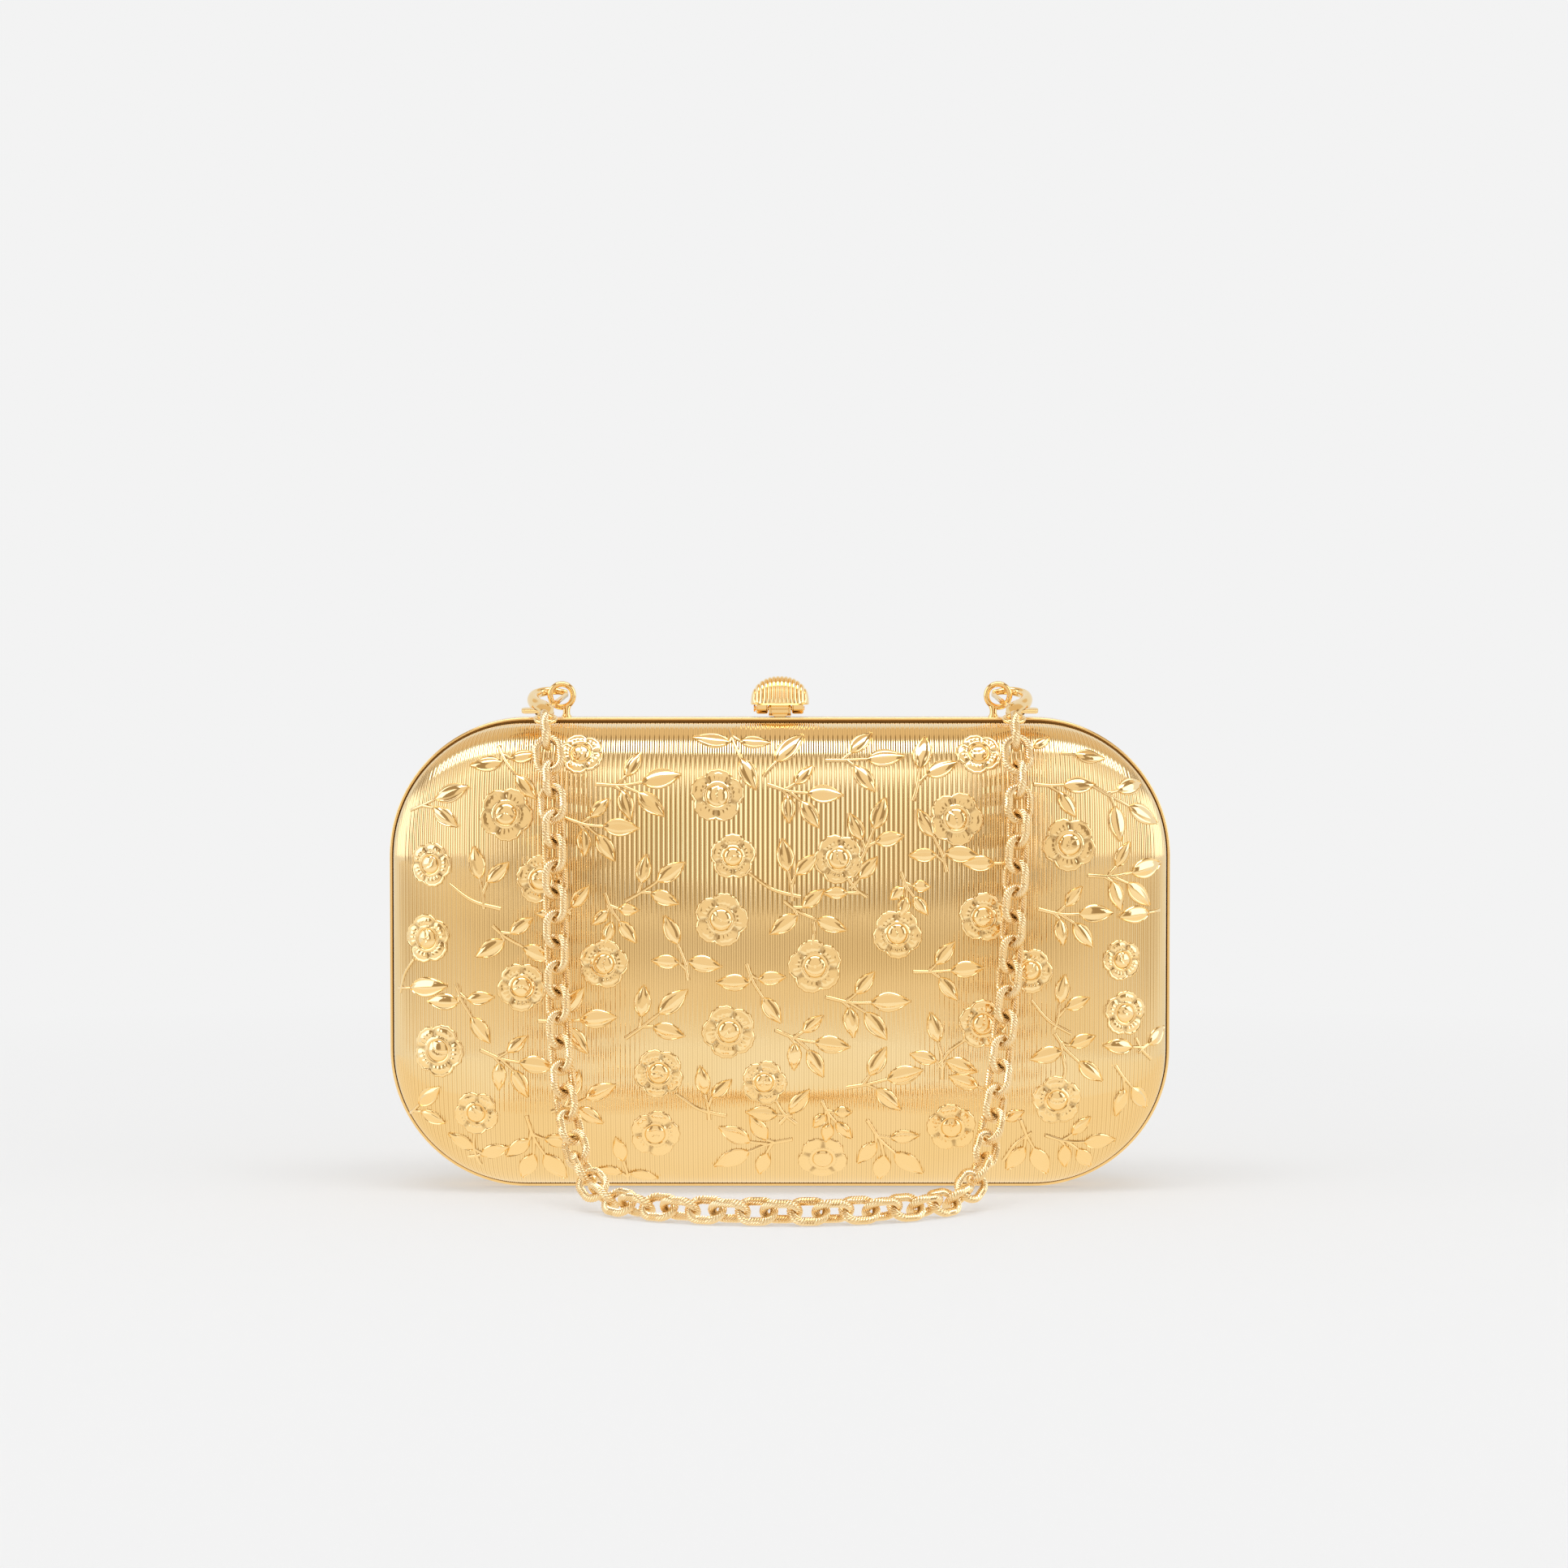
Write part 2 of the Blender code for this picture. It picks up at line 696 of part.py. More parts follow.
def stepped(line, pitches):
    # Places one pitch after another along a line, and how much of the line is left
    places, spot, index = [line[0]], line[0], 0
    for done, pitch in enumerate(pitches):
        while index + 1 < len(line) and (line[index + 1] - spot).length < pitch:
            index += 1
        if index + 1 == len(line):
            return places, (line[-1] - spot).length - sum(pitches[done:])
        near, far = line[index], line[index + 1]
        low, high = 0.0, 1.0
        for _ in range(30):
            middle = (low + high) / 2
            if (near.lerp(far, middle) - spot).length < pitch:
                low = middle
            else:
                high = middle
        spot = near.lerp(far, high)
        places.append(spot)
    rest = sum((b - a).length for a, b in zip(line[index + 1:], line[index + 2:]))
    return places, rest + (line[index + 1] - spot).length


def link_count():
    # The odd number of links nearest to the wanted reach, so both end links stand alike
    line = strap_line(strap_reach)
    length = sum((b - a).length for a, b in zip(line, line[1:]))
    return 2 * round((length / link_mean_pitch - 1) / 2) + 1


def link_places():
    # The links fix the chain's length, so how far forward it lies on the floor follows
    pitches = [link_mean_pitch] * link_count()
    low, high = case_half_depth, case_half_depth + case_width
    for _ in range(40):
        reach = (low + high) / 2
        if stepped(strap_line(reach), pitches)[1] < 0:
            low = reach
        else:
            high = reach
    return stepped(strap_line(high), pitches)[0]


def facing(place):
    # The strap lies in a sheet that faces forward where it hangs and up where it lies
    share = min(max((place.z - link_rest_height) / (strap_lift_height - link_rest_height), 0), 1)
    share = share * share * (3 - 2 * share)
    return Vector((0, -share, 1 - share))


def link_frames():
    # Each two links are pulled apart until they touch, and stay clear of the next two
    places = link_places()
    last = len(places) - 2
    frames = []
    for i, (start, end) in enumerate(zip(places, places[1:])):
        along = (end - start).normalized()
        middle = (start + end) / 2 + along * link_shift * (-1 if i % 2 == 0 else 1)
        out = facing(middle)
        out = (out - along * out.dot(along)).normalized()
        settle = min(i, last - i, roll_settle_links) / roll_settle_links
        roll = (math.pi / 2 if i % 2 == 0 else 0) - settle * link_roll
        side = along.cross(out)
        frames.append((middle, along, side * math.cos(roll) + out * math.sin(roll)))
    return frames


def add_link(bm, middle, along, across):
    normal = along.cross(across)
    straight = link_half_line - link_bend_radius
    rings = []
    for end in (1, -1):
        for i in range(link_arc_steps + 1):
            a = math.pi * i / link_arc_steps
            out = (across * math.cos(a) + along * math.sin(a)) * end
            centre = middle + along * straight * end + out * link_bend_radius
            turns = [2 * math.pi * k / link_sides for k in range(link_sides)]
            rings.append([centre + (out * math.cos(b) + normal * math.sin(b)) * link_tube for b in turns])
    loft(bm, rings, closed=True)


def strap_links(frames, material, carrier):
    # Links in twos, because a part holds few enough nodes that each can't have its own
    for i in range(0, len(frames), 2):
        bm = bmesh.new()
        add_link(bm, *frames[i])
        name = f"strap_links_{i // 2 + 1:02d}"
        made = mesh_object(name, bm, material, carrier, 65)
        if i + 1 < len(frames):
            other = bmesh.new()
            add_link(other, *frames[i + 1])
            combine(made, cutter(name + "_second", other, carrier), "UNION")


def knob_section(x, ridge):
    # A half oval across the dome at one place along it
    fall = (1 - abs(2 * x / knob_width) ** knob_power) ** (1 / knob_power)
    cut = 0 if ridge else rib_depth
    half, high = knob_depth / 2 * fall - cut, knob_height * fall - cut
    turns = [math.pi * i / knob_arc_steps for i in range(knob_arc_steps + 1)]
    return [Vector((x, knob_setback + half * math.cos(a), knob_base_z + high * math.sin(a))) for a in turns]


def knob(name, material, carrier):
    bm = bmesh.new()
    stations = 2 * rib_count
    half = knob_width / 2 * knob_end_share
    rings = [knob_section(half * (2 * i / stations - 1), i % 2 == 1) for i in range(stations + 1)]
    loft(bm, rings)
    made = mesh_object(name, bm, material, carrier)
    combine(made, knob_underside(name + "_underside", carrier), "UNION")
    bore = bmesh.new()
    reach = knob_width / 2 + cut_overrun
    add_bar(bore, -reach, reach, pin_place(), knob_pin_radius + pin_clearance, barrel_sides)
    combine(made, cutter(name + "_bore", bore, carrier), "DIFFERENCE")
    return made


def pin_place():
    return Vector((0, knob_pin_setback, knob_pin_z))


def knob_underside(name, carrier):
    # Two knuckles on the pin, and the tongue in front of them
    bm = bmesh.new()
    top = knob_base_z + rib_depth * 2
    turns = [math.radians(a) for a in range(180, 361, 30)]
    edge = [(knob_pin_setback + knob_knuckle_radius * math.cos(a), knob_pin_z + knob_knuckle_radius * math.sin(a))
            for a in turns]
    edge += [(knob_pin_setback + knob_knuckle_radius, top), (knob_pin_setback - knob_knuckle_radius, top)]
    near = bracket_width / 2 + seat_gap
    for side in (-1, 1):
        spans = (side * near, side * (near + knob_knuckle_width))
        loft(bm, [[Vector((x, y, z)) for y, z in edge] for x in spans])
    half = tongue_width / 2
    tip = case_height - tongue_dip + half
    edge = [(half * math.cos(a), tip + half * math.sin(a)) for a in turns]
    edge += [(half, top), (-half, top)]
    low = -(tongue_setforward + tongue_thickness / 2)
    loft(bm, [[Vector((x, y, z)) for x, z in edge] for y in (low, low + tongue_thickness)])
    return cutter(name, bm, carrier)


def tongue_slot(name, carrier):
    bm = bmesh.new()
    half = tongue_width / 2 + tongue_clearance
    front = -(tongue_setforward + tongue_thickness / 2 + tongue_clearance)
    low = Vector((-half, front, case_height - tongue_slot_depth))
    add_box(bm, low, Vector((half, cut_overrun, case_height + cut_overrun)))
    return cutter(name, bm, carrier)


def knob_bracket(name, material, carrier):
    # A saddle round the pin, with its feet spread on the back rim
    bm = bmesh.new()
    half_foot = bracket_foot_depth / 2
    foot = case_height + seat_gap
    step = foot + bracket_foot_height
    turns = [math.radians(a) for a in range(0, 181, 30)]
    edge = [(knob_pin_setback + bracket_radius * math.cos(a), knob_pin_z + bracket_radius * math.sin(a))
            for a in turns]
    edge += [(knob_pin_setback - half_foot, step), (knob_pin_setback - half_foot, foot)]
    edge += [(knob_pin_setback + half_foot, foot), (knob_pin_setback + half_foot, step)]
    half = bracket_width / 2
    loft(bm, [[Vector((x, y, z)) for y, z in edge] for x in (-half, half)])
    made = mesh_object(name, bm, material, carrier)
    feet = bmesh.new()
    wide = half + bracket_flare
    add_box(feet, Vector((-wide, knob_pin_setback - half_foot, foot)),
            Vector((wide, knob_pin_setback + half_foot, step)))
    combine(made, cutter(name + "_feet", feet, carrier), "UNION")
    bore = bmesh.new()
    add_bar(bore, -wide - cut_overrun, wide + cut_overrun, pin_place(), knob_pin_radius + pin_clearance,
            barrel_sides)
    combine(made, cutter(name + "_bore", bore, carrier), "DIFFERENCE")
    return made


def knob_pin(name, material, carrier):
    # The pin, with a low head at its left end
    bm = bmesh.new()
    reach = bracket_width / 2 + seat_gap + knob_knuckle_width + seat_gap
    place = pin_place()
    stations = ((-reach - knob_pin_head, knob_pin_head_radius), (-reach, knob_pin_head_radius),
                (-reach, knob_pin_radius), (reach, knob_pin_radius))
    rings = []
    for x, radius in stations:
        turns = [2 * math.pi * (k + 0.5) / barrel_sides for k in range(barrel_sides)]
        rings.append([place + Vector((x, radius * math.cos(a), radius * math.sin(a))) for a in turns])
    loft(bm, rings)
    return mesh_object(name, bm, material, carrier)


def build():
    clear_scene()
    gold = metal("polished_gold", (0.86, 0.6, 0.24), 0.18)
    pale = metal("pale_gold", (0.9, 0.72, 0.4), 0.24)
    chain = metal("chain_gold", (0.86, 0.68, 0.4), 0.28)
    cloth = fabric("lining_fabric", (0.72, 0.58, 0.36))

    case = pivot("case", Vector())
    back = pivot("back_half", Vector((0, 0, hinge_z)), case)
    tipping = pivot("knob_pivot", pin_place(), back)
    strap = pivot("strap_pivot", Vector((0, eye_y, eye_z)), case)

    front_rim = rim("front_frame", -1, gold, case)
    combine(front_rim, tongue_slot("tongue_slot", case), "DIFFERENCE")
    rim("back_frame", 1, gold, back)
    for name, side, carrier in (("front", -1, case), ("back", 1, back)):
        flowered_shell(name + "_shell", side, pale, carrier)
        gap = shell_wall + lining_clearance
        tray(name + "_lining", side, gap + lining_thickness, gap, cloth, carrier)

    hinge_leaf("hinge_leaf_front", -1, 0, gold, case)
    hinge_leaf("hinge_leaf_back", 1, 1, gold, back)
    half = hinge_length / 2
    bar_object("hinge_pin", -half, half, Vector((0, 0, hinge_z)), hinge_pin_radius, barrel_sides, gold, case)

    for name, side in (("left", -1), ("right", 1)):
        strap_eye("strap_eye_" + name, side, gold, case)
        claw("clasp_body_" + name, side, pale, strap)
        lever = pivot("gate_pivot_" + name, clasp_point(side, gate_pivot_across, gate_pivot_along), strap)
        gate("clasp_gate_" + name, side, pale, lever)
        clasp_pin("gate_rivet_" + name, side, rivet_radius, claw_thickness / 2 + rivet_proud, gold, strap)
    frames = link_frames()
    strap_links(frames, chain, strap)

    knob_bracket("knob_bracket", gold, back)
    knob_pin("knob_pin", gold, back)
    knob("knob", pale, tipping)

    front = min(middle.y for middle, _, _ in frames) - rolled_half
    rear = case_half_depth + flower_middle_rise
    case.location.y = -(front + rear) / 2


build()
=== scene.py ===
from math import cos, exp, hypot, pi, radians, sin, sqrt, tan

import bmesh
import bpy
import numpy as np
from mathutils import Matrix, Vector


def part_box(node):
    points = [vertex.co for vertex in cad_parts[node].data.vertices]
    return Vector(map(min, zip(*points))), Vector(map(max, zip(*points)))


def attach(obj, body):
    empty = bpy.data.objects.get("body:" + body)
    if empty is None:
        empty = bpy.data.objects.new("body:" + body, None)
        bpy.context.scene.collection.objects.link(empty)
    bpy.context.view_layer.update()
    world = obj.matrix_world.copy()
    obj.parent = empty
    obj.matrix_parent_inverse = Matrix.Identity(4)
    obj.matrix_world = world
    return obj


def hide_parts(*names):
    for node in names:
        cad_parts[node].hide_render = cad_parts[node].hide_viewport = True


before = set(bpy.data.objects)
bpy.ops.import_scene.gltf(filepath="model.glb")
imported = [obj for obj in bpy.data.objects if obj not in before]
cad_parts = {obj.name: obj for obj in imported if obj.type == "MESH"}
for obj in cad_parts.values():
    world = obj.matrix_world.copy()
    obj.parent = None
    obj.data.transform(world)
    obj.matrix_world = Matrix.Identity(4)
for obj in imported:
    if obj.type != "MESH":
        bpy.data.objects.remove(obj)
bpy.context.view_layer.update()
mm = 0.001

# The case stands on its rims, and its halves part at this Y, in millimetres
halfParting = 0.15
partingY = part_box("front_frame")[1].y / mm + halfParting
halves = (("front", -1), ("back", 1))
hands = (("left", -1), ("right", 1))


def placed(name, data):
    made = bpy.data.objects.new(name, data)
    bpy.context.collection.objects.link(made)
    return made


def noteMesh(name, vertices, faces):
    data = bpy.data.meshes.new(name)
    data.from_pydata([tuple(v) for v in vertices], [], faces)
    return placed(name, data)


def reshaped(data, change):
    shape = bmesh.new()
    shape.from_mesh(data)
    change(shape)
    shape.to_mesh(data)
    shape.free()


def solidMesh(name, vertices, faces):
    # A closed mesh whose faces look the same way
    made = noteMesh(name, vertices, faces)
    reshaped(made.data, lambda shape: bmesh.ops.recalc_face_normals(shape, faces=shape.faces))
    return made


def faceOut(shape):
    if shape.calc_volume(signed=True) < 0:
        bmesh.ops.reverse_faces(shape, faces=shape.faces)


def finishMesh(made, material, body, stoodFor, angle=40):
    # From millimetres to metres, smooth, facing out, and riding on its body
    data = made.data
    data.transform(Matrix.Scale(mm, 4))
    reshaped(data, faceOut)
    data.shade_smooth()
    data.set_sharp_from_angle(angle=radians(angle))
    data.materials.clear()
    data.materials.append(material)
    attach(made, body)
    if stoodFor:
        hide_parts(*stoodFor)
    return made


def paintShade(data, shares):
    # How much painted shade each point gets, where it lies in a groove or channel and the plating is
    # painted darker
    layer = data.attributes.new("crevice", "FLOAT", "POINT")
    layer.data.foreach_set("value", np.asarray(shares, np.float32))


def dropped(item):
    data = item.data
    bpy.data.objects.remove(item, do_unlink=True)
    if data.users == 0:
        bpy.data.meshes.remove(data)


def settled(item):
    # The piece as its modifiers leave it, as a plain mesh
    graph = bpy.context.evaluated_depsgraph_get()
    data = bpy.data.meshes.new_from_object(item.evaluated_get(graph), depsgraph=graph)
    name = item.name
    dropped(item)
    data.name = name
    return placed(name, data)


def combined(item, others, operation):
    for other in others:
        modifier = item.modifiers.new(other.name, "BOOLEAN")
        modifier.operation = operation
        modifier.solver = "EXACT"
        modifier.object = other
    made = settled(item)
    for other in others:
        dropped(other)
    return made


def rounded(item, width, segments, degrees):
    bevel = item.modifiers.new("rounding", "BEVEL")
    bevel.width = width
    bevel.segments = segments
    bevel.limit_method = "ANGLE"
    bevel.angle_limit = radians(degrees)
    return settled(item)


def lofted(rings, closed=False, capped=True):
    # Vertices and faces of a skin over rings of equally many points
    count = len(rings[0])
    vertices = [point for ring in rings for point in ring]
    faces = []
    last = len(rings) if closed else len(rings) - 1
    for i in range(last):
        near, far = i * count, (i + 1) % len(rings) * count
        for k in range(count):
            j = (k + 1) % count
            faces.append((near + k, near + j, far + j, far + k))
    if capped and not closed:
        faces.append(tuple(range(count))[::-1])
        faces.append(tuple((len(rings) - 1) * count + k for k in range(count)))
    return vertices, faces


def joinedParts(parts):
    vertices, faces = [], []
    for points, sides in parts:
        start = len(vertices)
        vertices += [tuple(p) for p in points]
        faces += [tuple(i + start for i in side) for side in sides]
    return vertices, faces


def smoothLine(points, steps):
    ends = [points[0] * 2 - points[1], *points, points[-1] * 2 - points[-2]]
    line = []
    for a, b, c, d in zip(ends, ends[1:], ends[2:], ends[3:]):
        for i in range(steps):
            t = i / steps
            line.append(0.5 * (2 * b + (c - a) * t + (2 * a - 5 * b + 4 * c - d) * t**2
                               + (3 * b - a - 3 * c + d) * t**3))
    return [*line, points[-1]]


def circle(count, first=0.0, sweep=2 * pi):
    return [first + sweep * k / count for k in range(count)]


def degreeSteps(first, last, step):
    return [radians(a) for a in range(first, last, step)]


def arcAt(middle, radius, turns):
    return [(middle[0] + radius * cos(a), middle[1] + radius * sin(a)) for a in turns]


def fed(tree, node, inputs):
    # Each of these inputs is linked to a socket, or set to a value
    for label, value in inputs.items():
        if isinstance(value, bpy.types.NodeSocket):
            tree.links.new(value, node.inputs[label])
        else:
            node.inputs[label].default_value = value


def wired(tree, kind, inputs=None, out=0, **settings):
    # A new node with its settings and inputs, of which the output is given back
    node = tree.nodes.new(kind)
    for label, value in settings.items():
        setattr(node, label, value)
    fed(tree, node, inputs or {})
    return node.outputs[out]


def mathOf(tree, operation, first, second):
    return wired(tree, "ShaderNodeMath", {0: first, 1: second}, operation=operation)


def newMaterial(name):
    made = bpy.data.materials.new(name)
    made.use_nodes = True
    return made, made.node_tree


def noiseOf(tree, scale, detail=3.0, stretch=(1, 1, 1)):
    place = wired(tree, "ShaderNodeTexCoord", out="Object")
    stretched = wired(tree, "ShaderNodeMapping", {"Vector": place, "Scale": stretch})
    return wired(tree, "ShaderNodeTexNoise", {"Vector": stretched, "Scale": scale, "Detail": detail}, "Fac")


def spread(tree, value, low, high, fromLow=0.3, fromHigh=0.7):
    span = {"Value": value, "From Min": fromLow, "From Max": fromHigh, "To Min": low, "To Max": high}
    return wired(tree, "ShaderNodeMapRange", span, "Result")


def blended(tree, share, first, second):
    return wired(tree, "ShaderNodeMix", {"Factor": share, "A": first, "B": second}, "Result",
                 data_type="RGBA")


def bumped(tree, height, strength, distance):
    return wired(tree, "ShaderNodeBump", {"Height": height, "Strength": strength, "Distance": distance})


# The dark tone below is painted shade, blended into grooves and channels
plating = {"clouds": 45, "crevice": (0.22, 0.11, 0.03, 1), "wear": 180, "wearDetail": 6, "rolling": 1600,
           "rollingDetail": 2, "rollingStretch": (1, 1, 0.25), "rollingStrength": 0.12}
cloth = {"sheen": 0.35, "threads": 700, "unevenness": 0.6, "clouds": 60, "leastTone": 0.2, "rough": 0.6,
         "smooth": 0.42, "weaveStrength": 0.5, "weaveDepth": 0.00008}


def platedGold(name, light, deep, smoothest, roughest, grain):
    # Plating whose tone drifts a little, with faint cloudy wear, a fine rolled grain, and painted shade in
    # its grooves
    made, tree = newMaterial(name)
    drift = spread(tree, noiseOf(tree, plating["clouds"]), 0, 1)
    plain = blended(tree, drift, (*light, 1), (*deep, 1))
    # Painted shade: a point attribute blends the tone towards the dark colour in grooves and channels
    groove = wired(tree, "ShaderNodeAttribute", out="Fac", attribute_name="crevice")
    wear = noiseOf(tree, plating["wear"], plating["wearDetail"])
    rolled = noiseOf(tree, plating["rolling"], plating["rollingDetail"], plating["rollingStretch"])
    fed(tree, tree.nodes["Principled BSDF"], {
        "Metallic": 1,
        "Base Color": blended(tree, groove, plain, plating["crevice"]),
        "Roughness": spread(tree, wear, smoothest, roughest),
        "Normal": bumped(tree, rolled, plating["rollingStrength"], grain)})
    return made


def satin(name, light, deep):
    # Threads that cross each other, and a tone that is cloudy
    made, tree = newMaterial(name)
    threads = []
    for direction in ("X", "Z"):
        place = wired(tree, "ShaderNodeTexCoord", out="Object")
        wave = {"Vector": place, "Scale": cloth["threads"], "Distortion": cloth["unevenness"]}
        threads.append(wired(tree, "ShaderNodeTexWave", wave, "Fac", bands_direction=direction))
    weave = mathOf(tree, "MULTIPLY", *threads)
    clouds = spread(tree, noiseOf(tree, cloth["clouds"]), cloth["leastTone"], 1)
    fed(tree, tree.nodes["Principled BSDF"], {
        "Sheen Weight": cloth["sheen"],
        "Base Color": blended(tree, clouds, (*deep, 1), (*light, 1)),
        "Roughness": spread(tree, weave, cloth["rough"], cloth["smooth"], 0, 1),
        "Normal": bumped(tree, weave, cloth["weaveStrength"], cloth["weaveDepth"])})
    return made


paleGold = platedGold("paleGoldPlating", (1.0, 0.79, 0.46), (0.98, 0.75, 0.4), 0.05, 0.1, 0.00002)
rimGold = platedGold("rimGoldPlating", (0.97, 0.73, 0.38), (0.92, 0.66, 0.31), 0.1, 0.18, 0.00002)
claspGold = platedGold("claspGoldPlating", (0.97, 0.75, 0.41), (0.93, 0.69, 0.34), 0.06, 0.12, 0.00002)
ropeGold = platedGold("ropeWirePlating", (1.0, 0.82, 0.54), (0.97, 0.76, 0.45), 0.16, 0.26, 0.00003)
lining = satin("liningSatin", (0.78, 0.64, 0.42), (0.66, 0.52, 0.32))
print("materials made")

# Pressed shells, in millimetres from the middle of the case
shell = {"halfWidth": 93.9, "halfHeight": 56.15, "cornerRadius": 32.5, "run": 30, "rise": 15.5,
         "crown": 3.3, "power": 2.4, "straight": 3, "rimDepth": 2.6, "wall": 0.6, "middleHeight": 57.25,
         "curveSteps": 500, "near": 0.04}
coreAcross = shell["halfWidth"] - shell["cornerRadius"]
coreUp = shell["halfHeight"] - shell["cornerRadius"]


def shoulderCurve():
    # From the middle outwards: length along the sheet, distance from the core,
    # share of the rise, and drop of the wall
    turns = np.radians(np.linspace(90, 0, shell["curveSteps"]))
    plan = shell["cornerRadius"] - shell["run"] * (1 - np.cos(turns) ** (2 / shell["power"]))
    share = np.sin(turns) ** (2 / shell["power"])
    steps = np.hypot(np.diff(plan), np.diff(share * shell["rise"]))
    along = plan[0] + np.concatenate([[0], np.cumsum(steps)])
    return (np.concatenate([[0], along, [along[-1] + shell["straight"]]]),
            np.concatenate([[0], plan, plan[-1:]]), np.concatenate([[1], share, [0]]),
            np.concatenate([[0], 0 * plan, [shell["straight"]]]))


sheetRadii, planRadii, riseShares, wallDrops = shoulderCurve()
sheetEdge = sheetRadii[-1]


def pressedPlace(across, up):
    # Where a point of the flat sheet comes to lie once it is pressed
    beyondAcross = np.maximum(np.abs(across) - coreAcross, 0)
    beyondUp = np.maximum(np.abs(up) - coreUp, 0)
    radius = np.hypot(beyondAcross, beyondUp)
    shrink = np.interp(radius, sheetRadii, planRadii) / np.maximum(radius, 1e-9)
    x = np.sign(across) * (np.minimum(np.abs(across), coreAcross) + beyondAcross * shrink)
    z = np.sign(up) * (np.minimum(np.abs(up), coreUp) + beyondUp * shrink)
    crown = shell["crown"] * (1 - (x / shell["halfWidth"]) ** 2) * (1 - (z / shell["halfHeight"]) ** 2)
    share = np.interp(radius, sheetRadii, riseShares)
    depth = shell["rimDepth"] + shell["straight"] + (shell["rise"] + crown) * share
    return np.stack([x, np.interp(radius, sheetRadii, wallDrops) - depth, z], axis=-1)


def pressed(flat, side):
    # The flat sheet's points (across, up, height) on the front or the back shell
    flat = np.asarray(flat, float)
    across, up, height = flat[:, 0], flat[:, 1], flat[:, 2]
    near = shell["near"]
    alongAcross = pressedPlace(across + near, up) - pressedPlace(across - near, up)
    alongUp = pressedPlace(across, up + near) - pressedPlace(across, up - near)
    out = np.cross(alongAcross, alongUp)
    out /= np.maximum(np.linalg.norm(out, axis=1, keepdims=True), 1e-12)
    points = pressedPlace(across, up) + out * height[:, None]
    if side > 0:
        points[:, :2] *= -1
    return points + (0, partingY, shell["middleHeight"])


def newTree(name, sockets):
    # A node tree that takes geometry and named values, and gives geometry
    tree = bpy.data.node_groups.new(name, "GeometryNodeTree")
    tree.interface.new_socket("Geometry", in_out="OUTPUT", socket_type="NodeSocketGeometry")
    for label, kind in (("Geometry", "Geometry"), *sockets, ("Plating", "Material")):
        tree.interface.new_socket(label, in_out="INPUT", socket_type="NodeSocket" + kind)
    return tree, tree.nodes.new("NodeGroupInput").outputs


def coated(tree, geometry, given):
    coat = wired(tree, "GeometryNodeSetMaterial", {"Geometry": geometry, "Material": given["Plating"]})
    fed(tree, tree.nodes.new("NodeGroupOutput"), {"Geometry": coat})
    return tree


def applyTree(item, tree, values):
    modifier = item.modifiers.new(tree.name, "NODES")
    modifier.node_group = tree
    for socket in tree.interface.items_tree:
        if socket.in_out == "INPUT" and socket.name in values:
            modifier[socket.identifier] = values[socket.name]
    item.update_tag()
    bpy.context.view_layer.update()
    return settled(item)


flutes = {"count": 180, "rows": 56, "plainEnd": 1.6, "fade": 1.2, "shade": 0.3, "sewing": 0.01,
          "split": -0.4, "clustering": 0.35,
          "section": (-0.14, -0.06, 0, -0.04, -0.1, -0.04, 0, -0.06, -0.14)}
flutePitch = 2 * (coreAcross + sheetEdge) / flutes["count"]
fullUp = coreUp + sheetEdge


def makeFluteTree():
    # One flute repeated side by side along a line, and sewn where they meet
    tree, given = newTree("fluteTree", [("Count", "Int"), ("Pitch", "Float")])
    gaps = mathOf(tree, "SUBTRACT", given["Count"], 1)
    first = mathOf(tree, "MULTIPLY", mathOf(tree, "MULTIPLY", gaps, -0.5), given["Pitch"])
    line = wired(tree, "GeometryNodeMeshLine", {
        "Count": given["Count"],
        "Start Location": wired(tree, "ShaderNodeCombineXYZ", {"X": first}),
        "Offset": wired(tree, "ShaderNodeCombineXYZ", {"X": given["Pitch"]})})
    copies = wired(tree, "GeometryNodeInstanceOnPoints", {"Points": line, "Instance": given["Geometry"]})
    real = wired(tree, "GeometryNodeRealizeInstances", {"Geometry": copies})
    sewn = wired(tree, "GeometryNodeMergeByDistance", {"Geometry": real, "Distance": flutes["sewing"]})
    return coated(tree, sewn, given)


def makeScatterTree():
    # A motif set on each point, turned and stretched as the point's own attributes say
    tree, given = newTree("scatterTree", [("Motif", "Object")])
    motif = wired(tree, "GeometryNodeObjectInfo", {"Object": given["Motif"]}, "Geometry")
    turn, stretch = (wired(tree, "GeometryNodeInputNamedAttribute", {"Name": label}, "Attribute",
                           data_type="FLOAT_VECTOR") for label in ("turn", "stretch"))
    copies = wired(tree, "GeometryNodeInstanceOnPoints", {
        "Points": given["Geometry"],
        "Instance": motif,
        "Rotation": wired(tree, "FunctionNodeEulerToRotation", {"Euler": turn}),
        "Scale": stretch})
    return coated(tree, wired(tree, "GeometryNodeRealizeInstances", {"Geometry": copies}), given)


def scattered(name, motif, places, turns, stretches, coat):
    points = noteMesh(name, places, [])
    for label, values in (("turn", turns), ("stretch", stretches)):
        attribute = points.data.attributes.new(label, "FLOAT_VECTOR", "POINT")
        attribute.data.foreach_set("vector", np.asarray(values, np.float32).ravel())
    return applyTree(points, scatterTree, {"Motif": motif, "Plating": coat})


fluteTree, scatterTree = makeFluteTree(), makeScatterTree()


def clustered(t):
    # Rows lie closer together towards both ends, where the sheet bends most
    return t * (1 + flutes["clustering"] * (1 - t * t))


